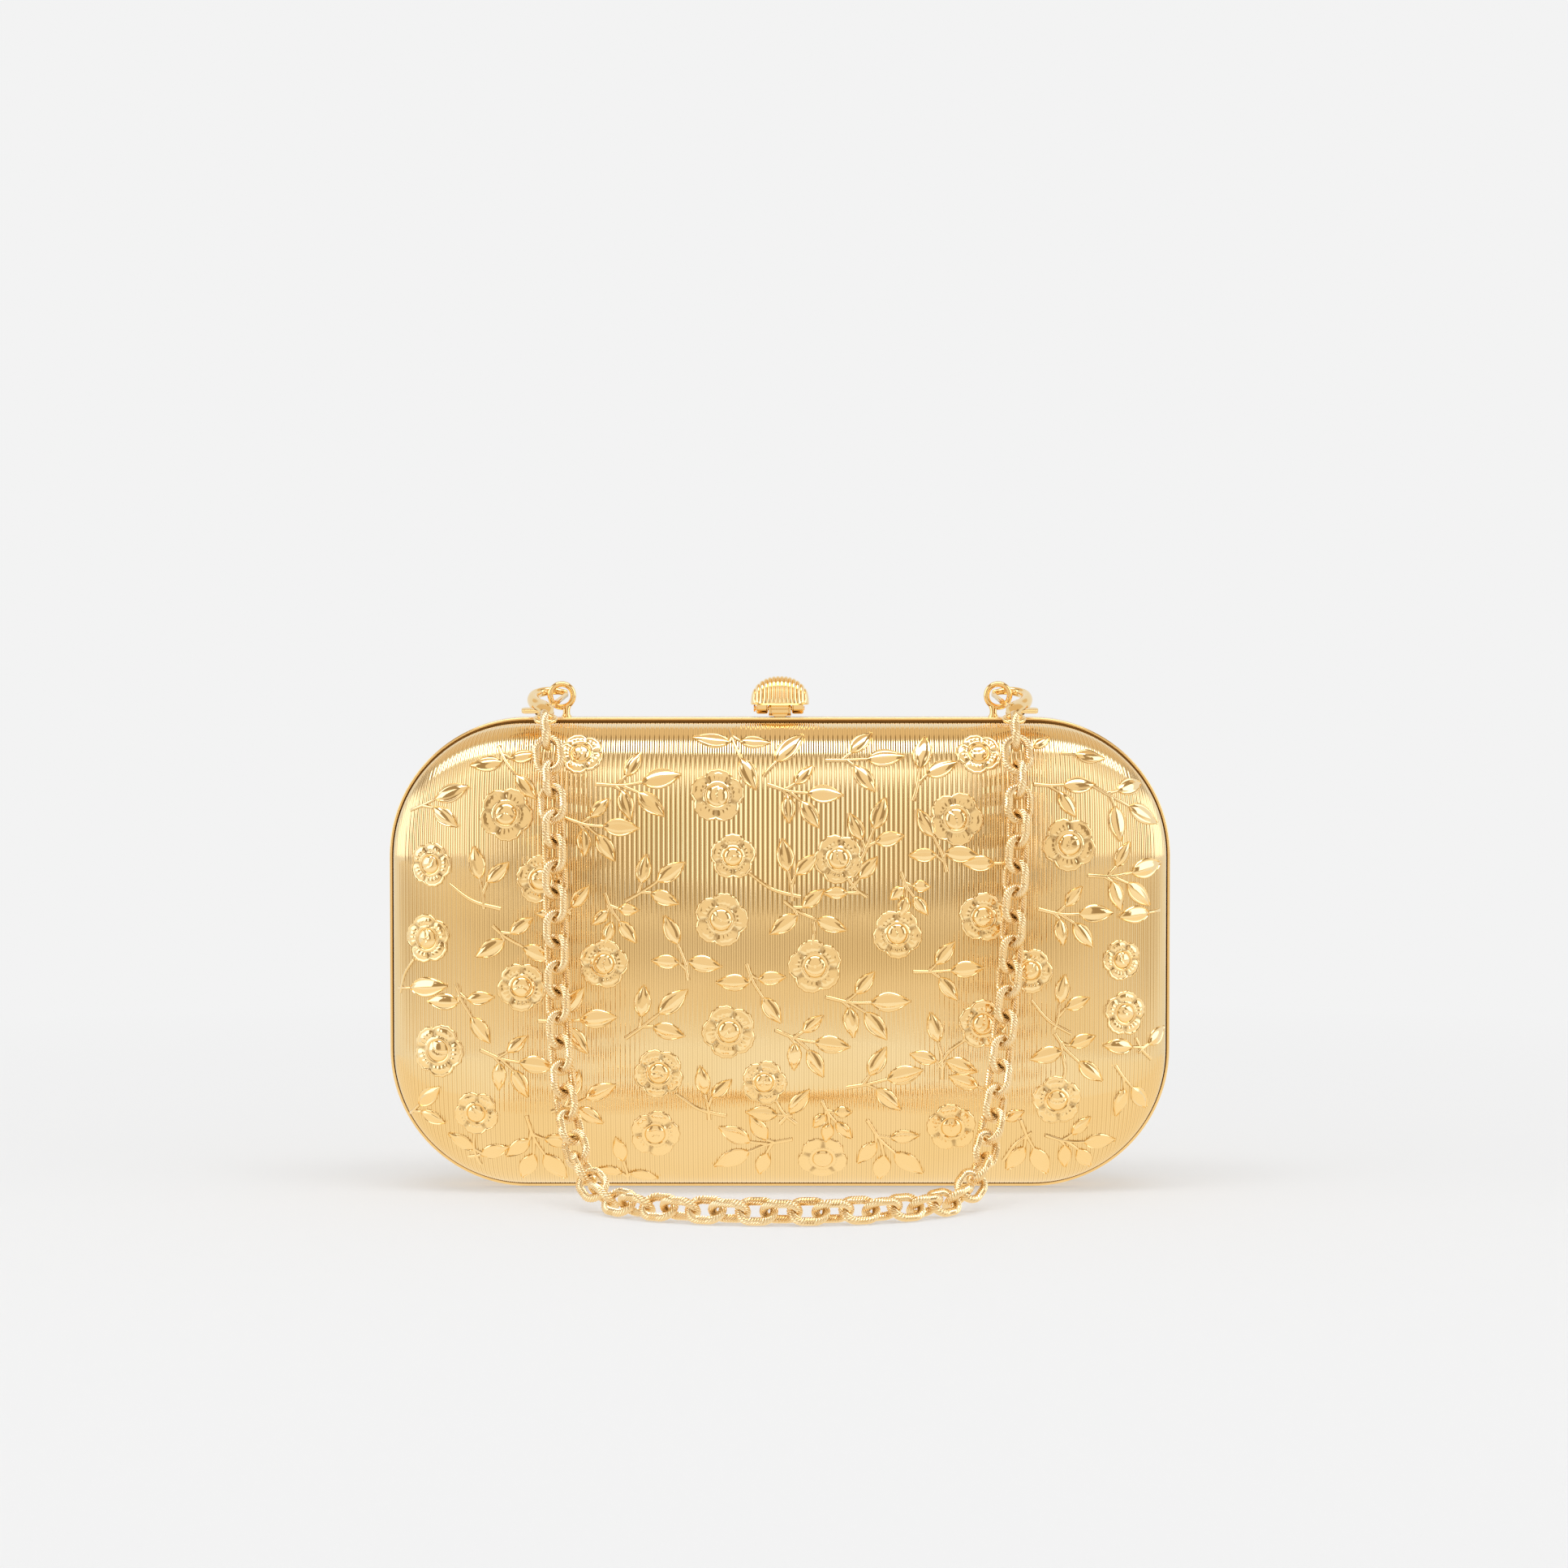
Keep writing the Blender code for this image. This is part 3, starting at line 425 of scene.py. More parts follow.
def oneFlute():
    # A strip of sheet metal with two ribs side by side, closed at its ends and open along its sides
    count, rows = len(flutes["section"]) - 1, flutes["rows"]
    over = [(flutePitch * (k / count - 0.5), height) for k, height in enumerate(flutes["section"])]
    section = over + [(flutePitch / 2, -shell["wall"]), (-flutePitch / 2, -shell["wall"])]
    vertices = [(a, fullUp * clustered(2 * j / rows - 1), h) for j in range(rows + 1) for a, h in section]
    size, faces = len(section), []
    for j in range(rows):
        near, far = j * size, (j + 1) * size
        faces += [(near + k, near + k + 1, far + k + 1, far + k) for k in (*range(count), count + 1)]
    faces.append(tuple(range(size))[::-1])
    faces.append(tuple(rows * size + k for k in range(size)))
    return vertices, faces


def closeSides(sheet):
    # The first and the last flute's outer sides
    half = flutePitch * flutes["count"] / 2
    for side in (-1, 1):
        edge = [v for v in sheet.verts if side * v.co.x > half - flutes["sewing"]]
        edge.sort(key=lambda v: v.co.y)
        top = [v for v in edge if v.co.z > flutes["split"]]
        low = [v for v in edge if v.co.z <= flutes["split"]]
        for a, b, c, d in zip(low, low[1:], top[1:], top):
            sheet.faces.new((a, b, c, d) if side > 0 else (d, c, b, a))


def trimmed(flat):
    # Each flute reaches as far up and down as the blank's rounded corners let it,
    # and fades out near its ends
    beyond = np.maximum(np.abs(flat[:, 0]) - coreAcross, 0)
    reach = coreUp + np.sqrt(np.maximum(sheetEdge**2 - beyond**2, 0))
    up = flat[:, 1] / fullUp * reach
    share = np.clip((reach - np.abs(up) - flutes["plainEnd"]) / flutes["fade"], 0, 1)
    height = np.where(flat[:, 2] > -shell["wall"] / 2, flat[:, 2] * share, flat[:, 2])
    return np.stack([flat[:, 0], up, height], axis=-1)


def pointsOf(data):
    flat = np.empty(len(data.vertices) * 3, np.float32)
    data.vertices.foreach_get("co", flat)
    return flat.reshape(-1, 3).astype(float)


def setPoints(data, points):
    data.vertices.foreach_set("co", np.asarray(points, np.float32).ravel())
    data.update()


def flutedShell(name, side, body, node):
    strip = noteMesh(name, *oneFlute())
    made = applyTree(strip, fluteTree, {"Count": flutes["count"], "Pitch": flutePitch, "Plating": paleGold})
    reshaped(made.data, closeSides)
    flat = trimmed(pointsOf(made.data))
    points = pressed(flat, side)
    # Painted shade: darker along the flute valleys, and fully dark where the shell tucks into the rim
    valley = np.clip(-flat[:, 2] / max(-h for h in flutes["section"]), 0, 1)
    seated = np.abs(points[:, 1] - partingY) < shell["rimDepth"] + shell["straight"]
    paintShade(made.data, np.where(seated, 1, flutes["shade"] * valley))
    setPoints(made.data, points)
    return finishMesh(made, paleGold, body, (node,), 42)


for word, side in halves:
    flutedShell(word + "_fluted_shell", side, word + "_half", word + "_shell")
print("fluted shells pressed")

# Raised flowers, leaves and stems, drawn in millimetres on the flat sheet
relief = {"foot": -0.4, "base": 0.06, "bead": 0.24, "shade": 0.55, "shadeHeight": 0.1}
bloom = {"width": 12, "petals": 5, "around": 75, "turn": 1.7, "waist": 0.85, "lobe": 0.15, "lobeBend": 0.5,
         "frill": 0.02, "frills": 4, "ringInside": 2.35, "ringOutside": 3.2, "dome": 0.8, "ring": 0.3,
         "petalFrom": 0.5, "petal": 0.3, "cup": 0.8, "crease": 0.13, "creases": 5, "creaseAt": 0.25,
         "creaseWidth": 0.25, "seam": 0.22, "seamWidth": 0.16, "beadAt": 0.88, "beadWidth": 0.09,
         "curlAcross": -2.1, "curlUp": 0.3, "curlRadius": 2.35, "curlDepth": 0.24, "curlWidth": 0.2,
         "edge": 0.2, "edgeFrom": 0.96, "flare": 1.01,
         "rings": (0.06, 0.15, 0.24, 0.31, 0.37, 0.4, 0.44, 0.48, 0.52, 0.57, 0.63, 0.7, 0.77, 0.83, 0.88,
                   0.93, 0.97, 1)}
blade = {"length": 8, "width": 3.6, "least": 3.1, "most": 4.9, "wideShare": 0.52, "rings": 14,
         "start": 0.04, "span": 0.92, "skew": 0.82, "fullness": 0.86, "tip": 0.22, "pillow": 0.5,
         "pillowWide": 0.74, "pillowRound": 0.8, "swell": 1.3, "beadAt": 0.86, "beadWidth": 0.1,
         "lift": 0.04, "edge": 0.02, "flare": 1.02,
         "across": (-1, -0.94, -0.86, -0.78, -0.68, -0.5, -0.24, 0, 0.24, 0.5, 0.68, 0.78, 0.86, 0.94, 1)}
stalk = {"width": 1.0, "rise": 0.32, "taper": 0.3, "blunt": 0.6, "steps": 5, "flare": 1.05,
         "section": ((-1, 0), (-0.55, 0.8), (0, 1), (0.55, 0.8), (1, 0))}


def hill(t, middle, width):
    return exp(-((t - middle) / width) ** 2)


def flowerRadius(turn):
    lobe = abs(sin(bloom["petals"] * turn / 2)) ** bloom["lobeBend"]
    frill = bloom["frill"] * cos(bloom["frills"] * bloom["petals"] * turn) * lobe
    return bloom["width"] / 2 * (bloom["waist"] + bloom["lobe"] * lobe + frill)


def flowerHeight(share, radius, turn):
    # A dome with one curved groove, a ring round it, and creased petals with a raised edge
    inside, outside = bloom["ringInside"], bloom["ringOutside"]
    if radius < inside:
        dome = relief["base"] + bloom["dome"] * sqrt(max(1 - (radius / inside) ** 2, 0))
        x, z = radius * cos(turn), radius * sin(turn)
        curl = abs(hypot(x - bloom["curlAcross"], z - bloom["curlUp"]) - bloom["curlRadius"])
        return dome - bloom["curlDepth"] * hill(curl, 0, bloom["curlWidth"])
    if radius < outside:
        t = (radius - inside) / (outside - inside)
        return relief["base"] + bloom["ring"] * sin(pi * t)
    t = (share - bloom["petalFrom"]) / (1 - bloom["petalFrom"])
    gap = abs(sin(bloom["petals"] * turn / 2))
    cup = relief["base"] + bloom["petal"] * sin(pi * min(t / bloom["cup"], 1)) * gap
    crease = bloom["crease"] * cos(bloom["creases"] * bloom["petals"] * turn)
    crease *= hill(t, bloom["creaseAt"], bloom["creaseWidth"])
    seam = -bloom["seam"] * hill(gap, 0, bloom["seamWidth"]) * (1 - t * t)
    return cup + crease + seam + relief["bead"] * hill(t, bloom["beadAt"], bloom["beadWidth"])


def flowerMesh(name):
    around, outside, start, rings = bloom["around"], bloom["ringOutside"], bloom["petalFrom"], []
    for share in bloom["rings"]:
        inner, outer = min(share / start, 1) * outside, max((share - start) / (1 - start), 0)
        ring = []
        for turn in circle(around):
            radius = inner + outer * (flowerRadius(turn) - outside)
            height = flowerHeight(share, radius, turn)
            if share > bloom["edgeFrom"]:
                height = min(height, bloom["edge"] if share < 1 else 0)
            ring.append((radius * cos(turn), radius * sin(turn), height))
        rings.append(ring)
    rings.append([(bloom["flare"] * a, bloom["flare"] * b, relief["foot"]) for a, b, _ in rings[-1]])
    vertices, faces = lofted(rings[::-1], capped=False)
    last = (len(rings) - 1) * around
    faces = [face[::-1] for face in faces]
    vertices.append((0, 0, flowerHeight(0, 0, 0)))
    faces += [(last + (k + 1) % around, last + k, len(vertices) - 1)[::-1] for k in range(around)]
    faces.append(tuple(range(around)))
    return noteMesh(name, vertices, faces)


def leafMesh(name):
    # An almond with a bead along its outline and a pillow inside it
    half, last, domed = blade["width"] / 2, blade["rings"] - 1, blade["pillowRound"]
    rings = []
    for k in range(blade["rings"]):
        t = 0.5 - 0.5 * cos(pi * (blade["start"] + blade["span"] * k / last))
        wide = max(half * sin(pi * t ** blade["skew"]) ** blade["fullness"], blade["tip"])
        body = min(wide / half * blade["swell"], 1)
        ring = []
        for s in blade["across"]:
            inner = max(1 - abs(s) / blade["pillowWide"], 0)
            pillow = blade["pillow"] * (domed * inner * (2 - inner) + (1 - domed) * inner) * body
            bead = relief["bead"] * hill(abs(s), blade["beadAt"], blade["beadWidth"])
            height = blade["lift"] + pillow + bead if abs(s) < 1 else blade["edge"]
            ring.append((s * wide, t * blade["length"], height))
        ring += [(side * blade["flare"] * wide, ring[0][1], relief["foot"]) for side in (1, -1)]
        rings.append(ring)
    return noteMesh(name, *lofted(rings))


def stemPart(line):
    # A half round stem, thicker where it starts
    points = smoothLine([Vector((a, b, 0)) for a, b in line], stalk["steps"])
    last, rings = len(points) - 1, []
    for i, point in enumerate(points):
        way = (points[min(i + 1, last)] - points[max(i - 1, 0)]).normalized()
        out = Vector((way.y, -way.x, 0))
        wide = stalk["width"] / 2 * (1 - stalk["taper"] * (i / last))
        high = stalk["rise"] * (stalk["blunt"] if i in (0, last) else 1)
        section = [(a, share * high) for a, share in stalk["section"]]
        section = [(-stalk["flare"], relief["foot"]), *section, (stalk["flare"], relief["foot"])]
        rings.append([point + out * wide * a + Vector((0, 0, h)) for a, h in section])
    return lofted(rings)


def joinedMeshes(name, items):
    parts = []
    for item in items:
        parts.append(([tuple(v.co) for v in item.data.vertices],
                      [tuple(face.vertices) for face in item.data.polygons]))
        dropped(item)
    return noteMesh(name, *joinedParts(parts))


# Middles of the flowers as shares of the shell's half width and half height, and their widths
flowerPlaces = (
    (-0.51, 0.89, 11), (-0.7, 0.62, 13), (-0.16, 0.7, 13), (0.51, 0.89, 11), (0.45, 0.6, 13),
    (-0.12, 0.44, 11), (0.15, 0.43, 12), (-0.9, 0.4, 11), (-0.61, 0.34, 12), (0.74, 0.49, 13),
    (-0.15, 0.17, 13), (-0.91, 0.08, 12), (-0.66, -0.12, 12), (-0.45, -0.02, 12), (0.09, -0.03, 13),
    (0.3, 0.11, 12), (0.52, 0.18, 12), (0.88, -0.01, 10), (0.64, -0.05, 11), (0.89, -0.24, 11),
    (-0.13, -0.31, 13), (-0.88, -0.4, 13), (0.52, -0.28, 12), (-0.31, -0.49, 12), (-0.04, -0.53, 11),
    (0.71, -0.61, 12), (-0.78, -0.67, 11), (-0.32, -0.76, 12), (0.44, -0.73, 12), (0.11, -0.88, 12),
)
# Each sprig grows from its root. Leaves: along, aside, turn, length. Places: across, up, turn, size
sprigs = {
    "fourLeaves": {
        "leaves": ((7, 2, 60, 7), (11, 0.5, 12, 9.5), (10, -2, -42, 8.5), (6, -1.5, -72, 7.5)),
        "stems": (((0, 0), (6, -0.3), (11, 0.5)), ((5, -0.2), (7, 2)), ((6, -0.3), (10, -2)),
                  ((4, -0.2), (6, -1.5))),
        "places": ((-3, 42, -15, 0.9), (-44, 42, 0, 1), (-52, 34, -15, 0.9), (29, 21, -65, 0.6),
                   (74, 20, 0, 1), (-42, 16, -65, 0.7), (62, 12, -10, 0.9), (11, -9, -10, 1),
                   (-1, -17, -20, 0.9), (-72, -22, -20, 0.9), (10, -34, -60, 0.6), (-61, -38, -70, 1),
                   (21, -39, -55, 1), (64, -43, -15, 0.9), (3, -44, 195, 1))},
    "threeLeaves": {
        "leaves": ((6, 2, 50, 8), (10, 0.3, 5, 9), (7, -1.5, -52, 8)),
        "stems": (((0, 0), (5, 0), (10, 0.3)), ((4, 0), (6, 2)), ((5, 0), (7, -1.5))),
        "places": ((11, 48, 0, 1), (75, 42, -30, 1.1), (19, 23, 65, 0.9), (-37, 14, 30, 0.9),
                   (32, -3, 0, 0.9), (-58, -15, 0, 1), (-37, -19, 35, 1), (16, -31, 10, 1),
                   (-55, -37, 20, 0.9))},
    "noddingLeaves": {
        "leaves": ((5, 1.5, 75, 7.5), (10, 1, 15, 8.5), (5, -1, -110, 9)),
        "stems": (((0, 0), (5, 0), (10, 1)), ((3, 0), (5, 1.5)), ((3, 0), (5, -1))),
        "places": ((-12, 58, -80, 1), (-68, 52, -65, 0.9), (40, 21, 105, 0.9), (1, 14, -35, 0.9),
                   (-69, 8, -40, 0.9), (-22, -5, 100, 0.9), (-8, -1, -70, 0.9), (-78, -6, -70, 0.9),
                   (66, -18, -55, 0.9), (39, -29, 90, 0.9), (-37, -58, 90, 0.8))},
    "twoLeaves": {
        "leaves": ((8, 0.5, 5, 9), (7, -1.5, -52, 8)),
        "stems": (((0, 0), (4, 0), (8, 0.5)), ((4, 0), (7, -1.5))),
        "places": ((61, 42, -5, 0.9), (32, 38, 75, 1), (-91, 36, 15, 1), (3, 14, 95, 0.9),
                   (-71, 12, 95, 0.9), (66, -17, 75, 0.8), (81, -26, -55, 0.9), (-17, -39, 95, 0.8),
                   (-94, -41, 35, 0.9), (58, -39, -70, 1))},
    "oneLeaf": {
        "leaves": ((4, 0, 0, 8.5),),
        "stems": (((0, 0), (4, 0)),),
        "places": ((68, 50, -5, 0.9), (-4, 44, 50, 1.2), (55, 23, 180, 0.9), (17, 17, 50, 0.8),
                   (19, 16, 180, 0.7), (94, 11, -175, 1), (-52, 10, 50, 0.8), (-50, 11, 180, 0.7),
                   (-95, -8, 5, 1.2), (89, -22, 175, 0.9), (87, -23, 30, 0.9), (0, -40, 50, 0.9),
                   (3, -38, 175, 0.9), (51, -32, 160, 0.9), (52, -40, 25, 0.6), (-71, -49, 150, 0.9),
                   (-76, -50, 20, 0.9), (59, 50, 35, 0.6))},
    "flowerStem": {
        "leaves": (),
        "stems": (((0, 0), (3, 0.5), (6, 0)),),
        "places": ((5, 15, 155, 2.3), (21, 15, 135, 1.2), (-67, 12, 155, 2.3), (8, 9, -95, 1),
                   (-94, -9, 60, 1.6), (70, -18, 140, 2.1), (91, -25, 130, 1.2), (68, -23, -90, 1.2),
                   (38, -26, 45, 1.6), (-13, -38, 155, 2.2), (4, -40, 130, 1.3), (54, -50, 50, 1.7),
                   (-73, -52, 95, 1.6))},
}


def grown():
    # Every leaf's place and turn, and every stem's line
    leaves, lines = [], []
    for sprig in sprigs.values():
        for across, up, degrees, size in sprig["places"]:
            root, turn = Vector((across, up)), radians(degrees)
            ahead, left = Vector((cos(turn), sin(turn))), Vector((-sin(turn), cos(turn)))
            for along, aside, lean, length in sprig["leaves"]:
                spot = root + (ahead * along + left * aside) * size
                leaves.append((spot, turn + radians(lean), length * size))
            for line in sprig["stems"]:
                lines.append([root + (ahead * a + left * b) * size for a, b in line])
    return leaves, lines


def scatteredFlowers(name, motif):
    places = [(a * shell["halfWidth"], b * shell["halfHeight"], 0) for a, b, _ in flowerPlaces]
    turns = [(0, 0, bloom["turn"] * k) for k in range(len(places))]
    sizes = [(width / bloom["width"], width / bloom["width"], 1) for _, _, width in flowerPlaces]
    return scattered(name, motif, places, turns, sizes, paleGold)


def scatteredLeaves(name, motif, leaves):
    places, turns, sizes = [], [], []
    for spot, turn, length in leaves:
        width = min(max(blade["wideShare"] * length, blade["least"]), blade["most"])
        places.append((*spot, 0))
        turns.append((0, 0, turn - pi / 2))
        sizes.append((width / blade["width"], length / blade["length"], 1))
    return scattered(name, motif, places, turns, sizes, paleGold)


def ornament(name, side, body):
    flower, leaf = flowerMesh("flower"), leafMesh("leaf")
    leaves, lines = grown()
    stems = noteMesh("stems", *joinedParts([stemPart(line) for line in lines]))
    layers = [scatteredFlowers("flowers", flower), scatteredLeaves("leaves", leaf, leaves), stems]
    dropped(flower)
    dropped(leaf)
    made = joinedMeshes(name, layers)
    flat = pointsOf(made.data)
    # Painted shade: the relief is painted darker where it sits low, in its creases and round its foot
    paintShade(made.data, relief["shade"] * np.clip(1 - flat[:, 2] / relief["shadeHeight"], 0, 1))
    setPoints(made.data, pressed(flat, side))
    return finishMesh(made, paleGold, body, (), 50)


for word, side in halves:
    ornament(word + "_flower_relief", side, word + "_half")
print("flowers and leaves raised")

# Rims, in millimetres
rimSizes = {"halfWidth": 95, "height": 114.5, "cornerRadius": 33.6, "cornerSteps": 28, "lip": 0.75,
            "lipDepth": 4.5, "rounding": 0.3, "soft": 0.05, "flange": 5.5, "flangeDepth": 2.4,
            "relief": 0.35, "hingeHeight": 1.5, "hingeClearance": 0.1, "barrel": 1.75, "hingeLength": 92.5,
            "leafBed": 0.95, "leafTop": 7.5, "bedReach": 2, "tongueHalf": 2.45, "tongueDip": 0.75,
            "tongueFront": 2.35, "tongueBack": 2, "tongueRise": 3, "channelEdge": 0.02}


def rimOutline():
    # Points and inward directions round the case's rounded rectangle
    radius, steps = rimSizes["cornerRadius"], rimSizes["cornerSteps"]
    x, top = rimSizes["halfWidth"] - radius, rimSizes["height"] - radius
    line = []
    for centreX, centreZ, first in ((x, radius, -90), (x, top, 0), (-x, top, 90), (-x, radius, 180)):
        for i in range(steps + 1):
            turn = radians(first + 90 * i / steps)
            out = Vector((cos(turn), 0, sin(turn)))
            line.append((Vector((centreX, 0, centreZ)) + out * radius, -out))
    return line


def rimSection(height):
    # Distances in from the outline and out from the parting plane
    cut = max(rimSizes["relief"], rimSizes["hingeHeight"] + rimSizes["hingeClearance"] - height)
    lip, deep, bend, soft = (rimSizes[label] for label in ("lip", "lipDepth", "rounding", "soft"))
    flange, flangeDepth = rimSizes["flange"], rimSizes["flangeDepth"]
    section = [(cut, halfParting), (flange, halfParting), (flange, flangeDepth), (lip, flangeDepth),
               (lip, deep - 3 * soft), (lip - soft, deep - soft), (lip - 3 * soft, deep)]
    section += [(bend * (1 - sin(t)), deep - bend * (1 - cos(t)))
                for t in circle(4, 0, pi / 2)]
    return section + [(0, deep - bend), (0, halfParting + cut)]


def prismOf(name, edge, low, high):
    # An outline of (y, z) points between two places along X
    return solidMesh(name, *lofted([[(x, y, z) for y, z in edge] for x in (low, high)]))


def inwardOf(points):
    # How far points lie in from the outline
    radius, half = rimSizes["cornerRadius"], np.array([rimSizes["halfWidth"], rimSizes["height"] / 2])
    beyond = np.abs(points[:, [0, 2]] - (0, rimSizes["height"] / 2)) - (half - radius)
    return radius - np.hypot(*np.maximum(beyond, 0).T) - np.minimum(beyond.max(axis=1), 0)


def hingeBed(side):
    bed, depth, axis = rimSizes["barrel"], rimSizes["leafBed"], rimSizes["hingeHeight"]
    top, far = axis + sqrt(bed**2 - depth**2), -rimSizes["bedReach"]
    edge = [point for point in arcAt((0, axis), bed, degreeSteps(-90, 90, 8)) if point[1] < top]
    edge += [(depth, top), (depth, rimSizes["leafTop"]), (far, rimSizes["leafTop"]), (far, axis - bed)]
    half = rimSizes["hingeLength"] / 2
    return prismOf("hinge_bed", [(partingY + side * y, z) for y, z in edge], -half, half)


def tongueSeat():
    half, low = rimSizes["tongueHalf"], rimSizes["height"] - rimSizes["tongueDip"]
    front, back = partingY - rimSizes["tongueFront"], partingY + rimSizes["tongueBack"]
    high = low + rimSizes["tongueRise"]
    return prismOf("tongue_seat", [(front, low), (back, low), (back, high), (front, high)], -half, half)


def rim(name, side, body, node):
    rings = [[point + inward * u + Vector((0, partingY + side * v, 0)) for u, v in rimSection(point.z)]
             for point, inward in rimOutline()]
    made = solidMesh(name, *lofted(rings, closed=True))
    made = combined(made, [hingeBed(side)] + ([tongueSeat()] if side < 0 else []), "DIFFERENCE")
    points = pointsOf(made.data)
    inward, out = inwardOf(points), np.abs(points[:, 1] - partingY)
    # Painted shade: the channel between the lip and the flange, where the shell sits, is painted dark
    edge = rimSizes["channelEdge"]
    channel = (inward > rimSizes["lip"] - edge) & (out > rimSizes["flangeDepth"] - edge)
    paintShade(made.data, np.where(channel, 1, 0))
    return finishMesh(made, rimGold, body, (node,))


for word, side in halves:
    rim(word + "_rim", side, word + "_half", word + "_frame")
print("rims made")

# Strap eyes and lobster clasps, in millimetres. An eye's post is half widths and half depths at heights
eye = {"across": 53.1, "height": 119.8, "forward": 2.325, "ring": 2.8, "wire": 0.7, "steps": 56,
       "sides": 18, "postInset": 1.15, "postSides": 28, "foot": 114.52,
       "post": ((0, 1.28, 1.3), (0.3, 1.26, 1.28), (0.62, 1.0, 1.06), (1.1, 0.86, 0.96), (1.9, 0.88, 0.92),
                (2.5, 1.1, 0.8), (2.9, 1.2, 0.66))}
eyeY = partingY - eye["forward"]
clasp = {"tilt": 72, "offset": 3.2, "halfWidth": 5.2, "length": 14.2, "halfThick": 1.7, "tailRing": 2.3,
         "tailWire": 0.6, "sides": 28, "slotHalf": 0.65, "slotGap": 0.6, "slotOver": 0.2, "slotLean": 11,
         "throatShare": 0.38, "pivotAlong": 10.4, "pivotAcross": 0.4, "hub": 1.3, "bore": 0.6,
         "nose": 0.22, "noseShare": 0.6, "gateHalf": 0.525, "gateThick": 0.9, "gateGap": 0.9,
         "gateRound": 0.16, "tab": 6.1, "tabWidth": 2.2}
# The claw from its tail to its nose: across and along as shares, and its width and depth as shares
clawStations = ((0.0, 1.0, 0.62, 0.62), (-0.04, 0.88, 1.1, 0.88), (-0.1, 0.74, 1.5, 1.0),
                (-0.28, 0.58, 1.35, 0.98), (-0.56, 0.4, 1.0, 0.94), (-0.7, 0.2, 0.85, 0.88),
                (-0.66, 0.0, 0.72, 0.8), (-0.4, -0.15, 0.6, 0.7), (0.0, -0.225, 0.5, 0.6),
                (0.4, -0.215, 0.45, 0.5), (0.82, -0.135, 0.4, 0.42))


def ringPart(centre, across, up, radius, wire):
    normal = across.cross(up)
    rings = []
    for turn in circle(eye["steps"]):
        out = across * cos(turn) + up * sin(turn)
        rings.append([centre + out * (radius + wire * cos(a)) + normal * wire * sin(a)
                      for a in circle(eye["sides"])])
    return lofted(rings, closed=True)


def strapEye(name, side, node):
    centre = Vector((side * eye["across"], eyeY, eye["height"]))
    ring = ringPart(centre, Vector((1, 0, 0)), Vector((0, 0, 1)), eye["ring"], eye["wire"])
    x = centre.x - side * eye["postInset"]
    rings = [[(x + wide * cos(a), eyeY + deep * sin(a), eye["foot"] + z)
              for a in circle(eye["postSides"])] for z, wide, deep in eye["post"]]
    made = solidMesh(name, *joinedParts([ring, lofted(rings)]))
    return finishMesh(made, rimGold, "front_half", (node,))


def claspPoint(side, acrossBy, alongBy, throughBy=0.0):
    tilt = radians(clasp["tilt"])
    across = Vector((-side, 0, 0))
    along = Vector((0, -sin(tilt), -cos(tilt)))
    through = Vector((0, -cos(tilt), sin(tilt)))
    base = Vector((side * (eye["across"] + clasp["offset"]), eyeY, eye["height"]))
    return base + across * acrossBy + along * alongBy + through * throughBy


def claspPlate(name, side, edge, halfThick):
    layers = [[claspPoint(side, a, b, t) for a, b in edge] for t in (-halfThick, halfThick)]
    return solidMesh(name, *lofted(layers))


def rivetBore(side):
    pivot = (clasp["pivotAcross"], clasp["pivotAlong"])
    return claspPlate("rivet_bore", side, arcAt(pivot, clasp["bore"], circle(24)), 2 * clasp["halfThick"])


def claspBody(name, side, node):
    line = smoothLine([Vector(station) for station in clawStations], 6)
    middles = [claspPoint(side, s[0] * clasp["halfWidth"], s[1] * clasp["length"]) for s in line]
    base = claspPoint(side, 0, 0)
    across, along, through = (claspPoint(side, *way) - base for way in ((1, 0), (0, 1), (0, 0, 1)))
    rings = []
    for i, station in enumerate(line):
        way = (middles[min(i + 1, len(line) - 1)] - middles[max(i - 1, 0)]).normalized()
        out = way.cross(through)
        wide, deep = station[2] * clasp["halfThick"], station[3] * clasp["halfThick"]
        rings.append([middles[i] + out * wide * cos(a) + through * deep * sin(a)
                      for a in circle(clasp["sides"])])
    nose = middles[-1] + (middles[-1] - middles[-2]).normalized() * clasp["nose"]
    rings.append([nose + (point - middles[-1]) * clasp["noseShare"] for point in rings[-1]])
    made = solidMesh(name, *lofted(rings))
    tailCentre = claspPoint(side, 0, clasp["length"] + clasp["tailRing"])
    tail = ringPart(tailCentre, across, along, clasp["tailRing"], clasp["tailWire"])
    made = combined(made, [solidMesh("tail_ring", *tail)], "UNION")
    reach, hub, gap = 2 * clasp["halfWidth"], clasp["hub"], clasp["slotGap"]
    low, high = clasp["pivotAlong"] - hub - gap, clasp["pivotAlong"] + hub + clasp["slotOver"]
    inner, throat = clasp["pivotAcross"] - hub - gap, clasp["throatShare"] * clasp["length"]
    back = high + reach * tan(radians(clasp["slotLean"]))
    edge = ((-reach, low), (inner, low), (inner, throat), (reach, throat), (reach, high), (0, high),
            (-reach, back))
    slot = claspPlate("gate_slot", side, edge, clasp["slotHalf"])
    made = combined(made, [slot, rivetBore(side)], "DIFFERENCE")
    return finishMesh(made, claspGold, "strap", (node,), 50)


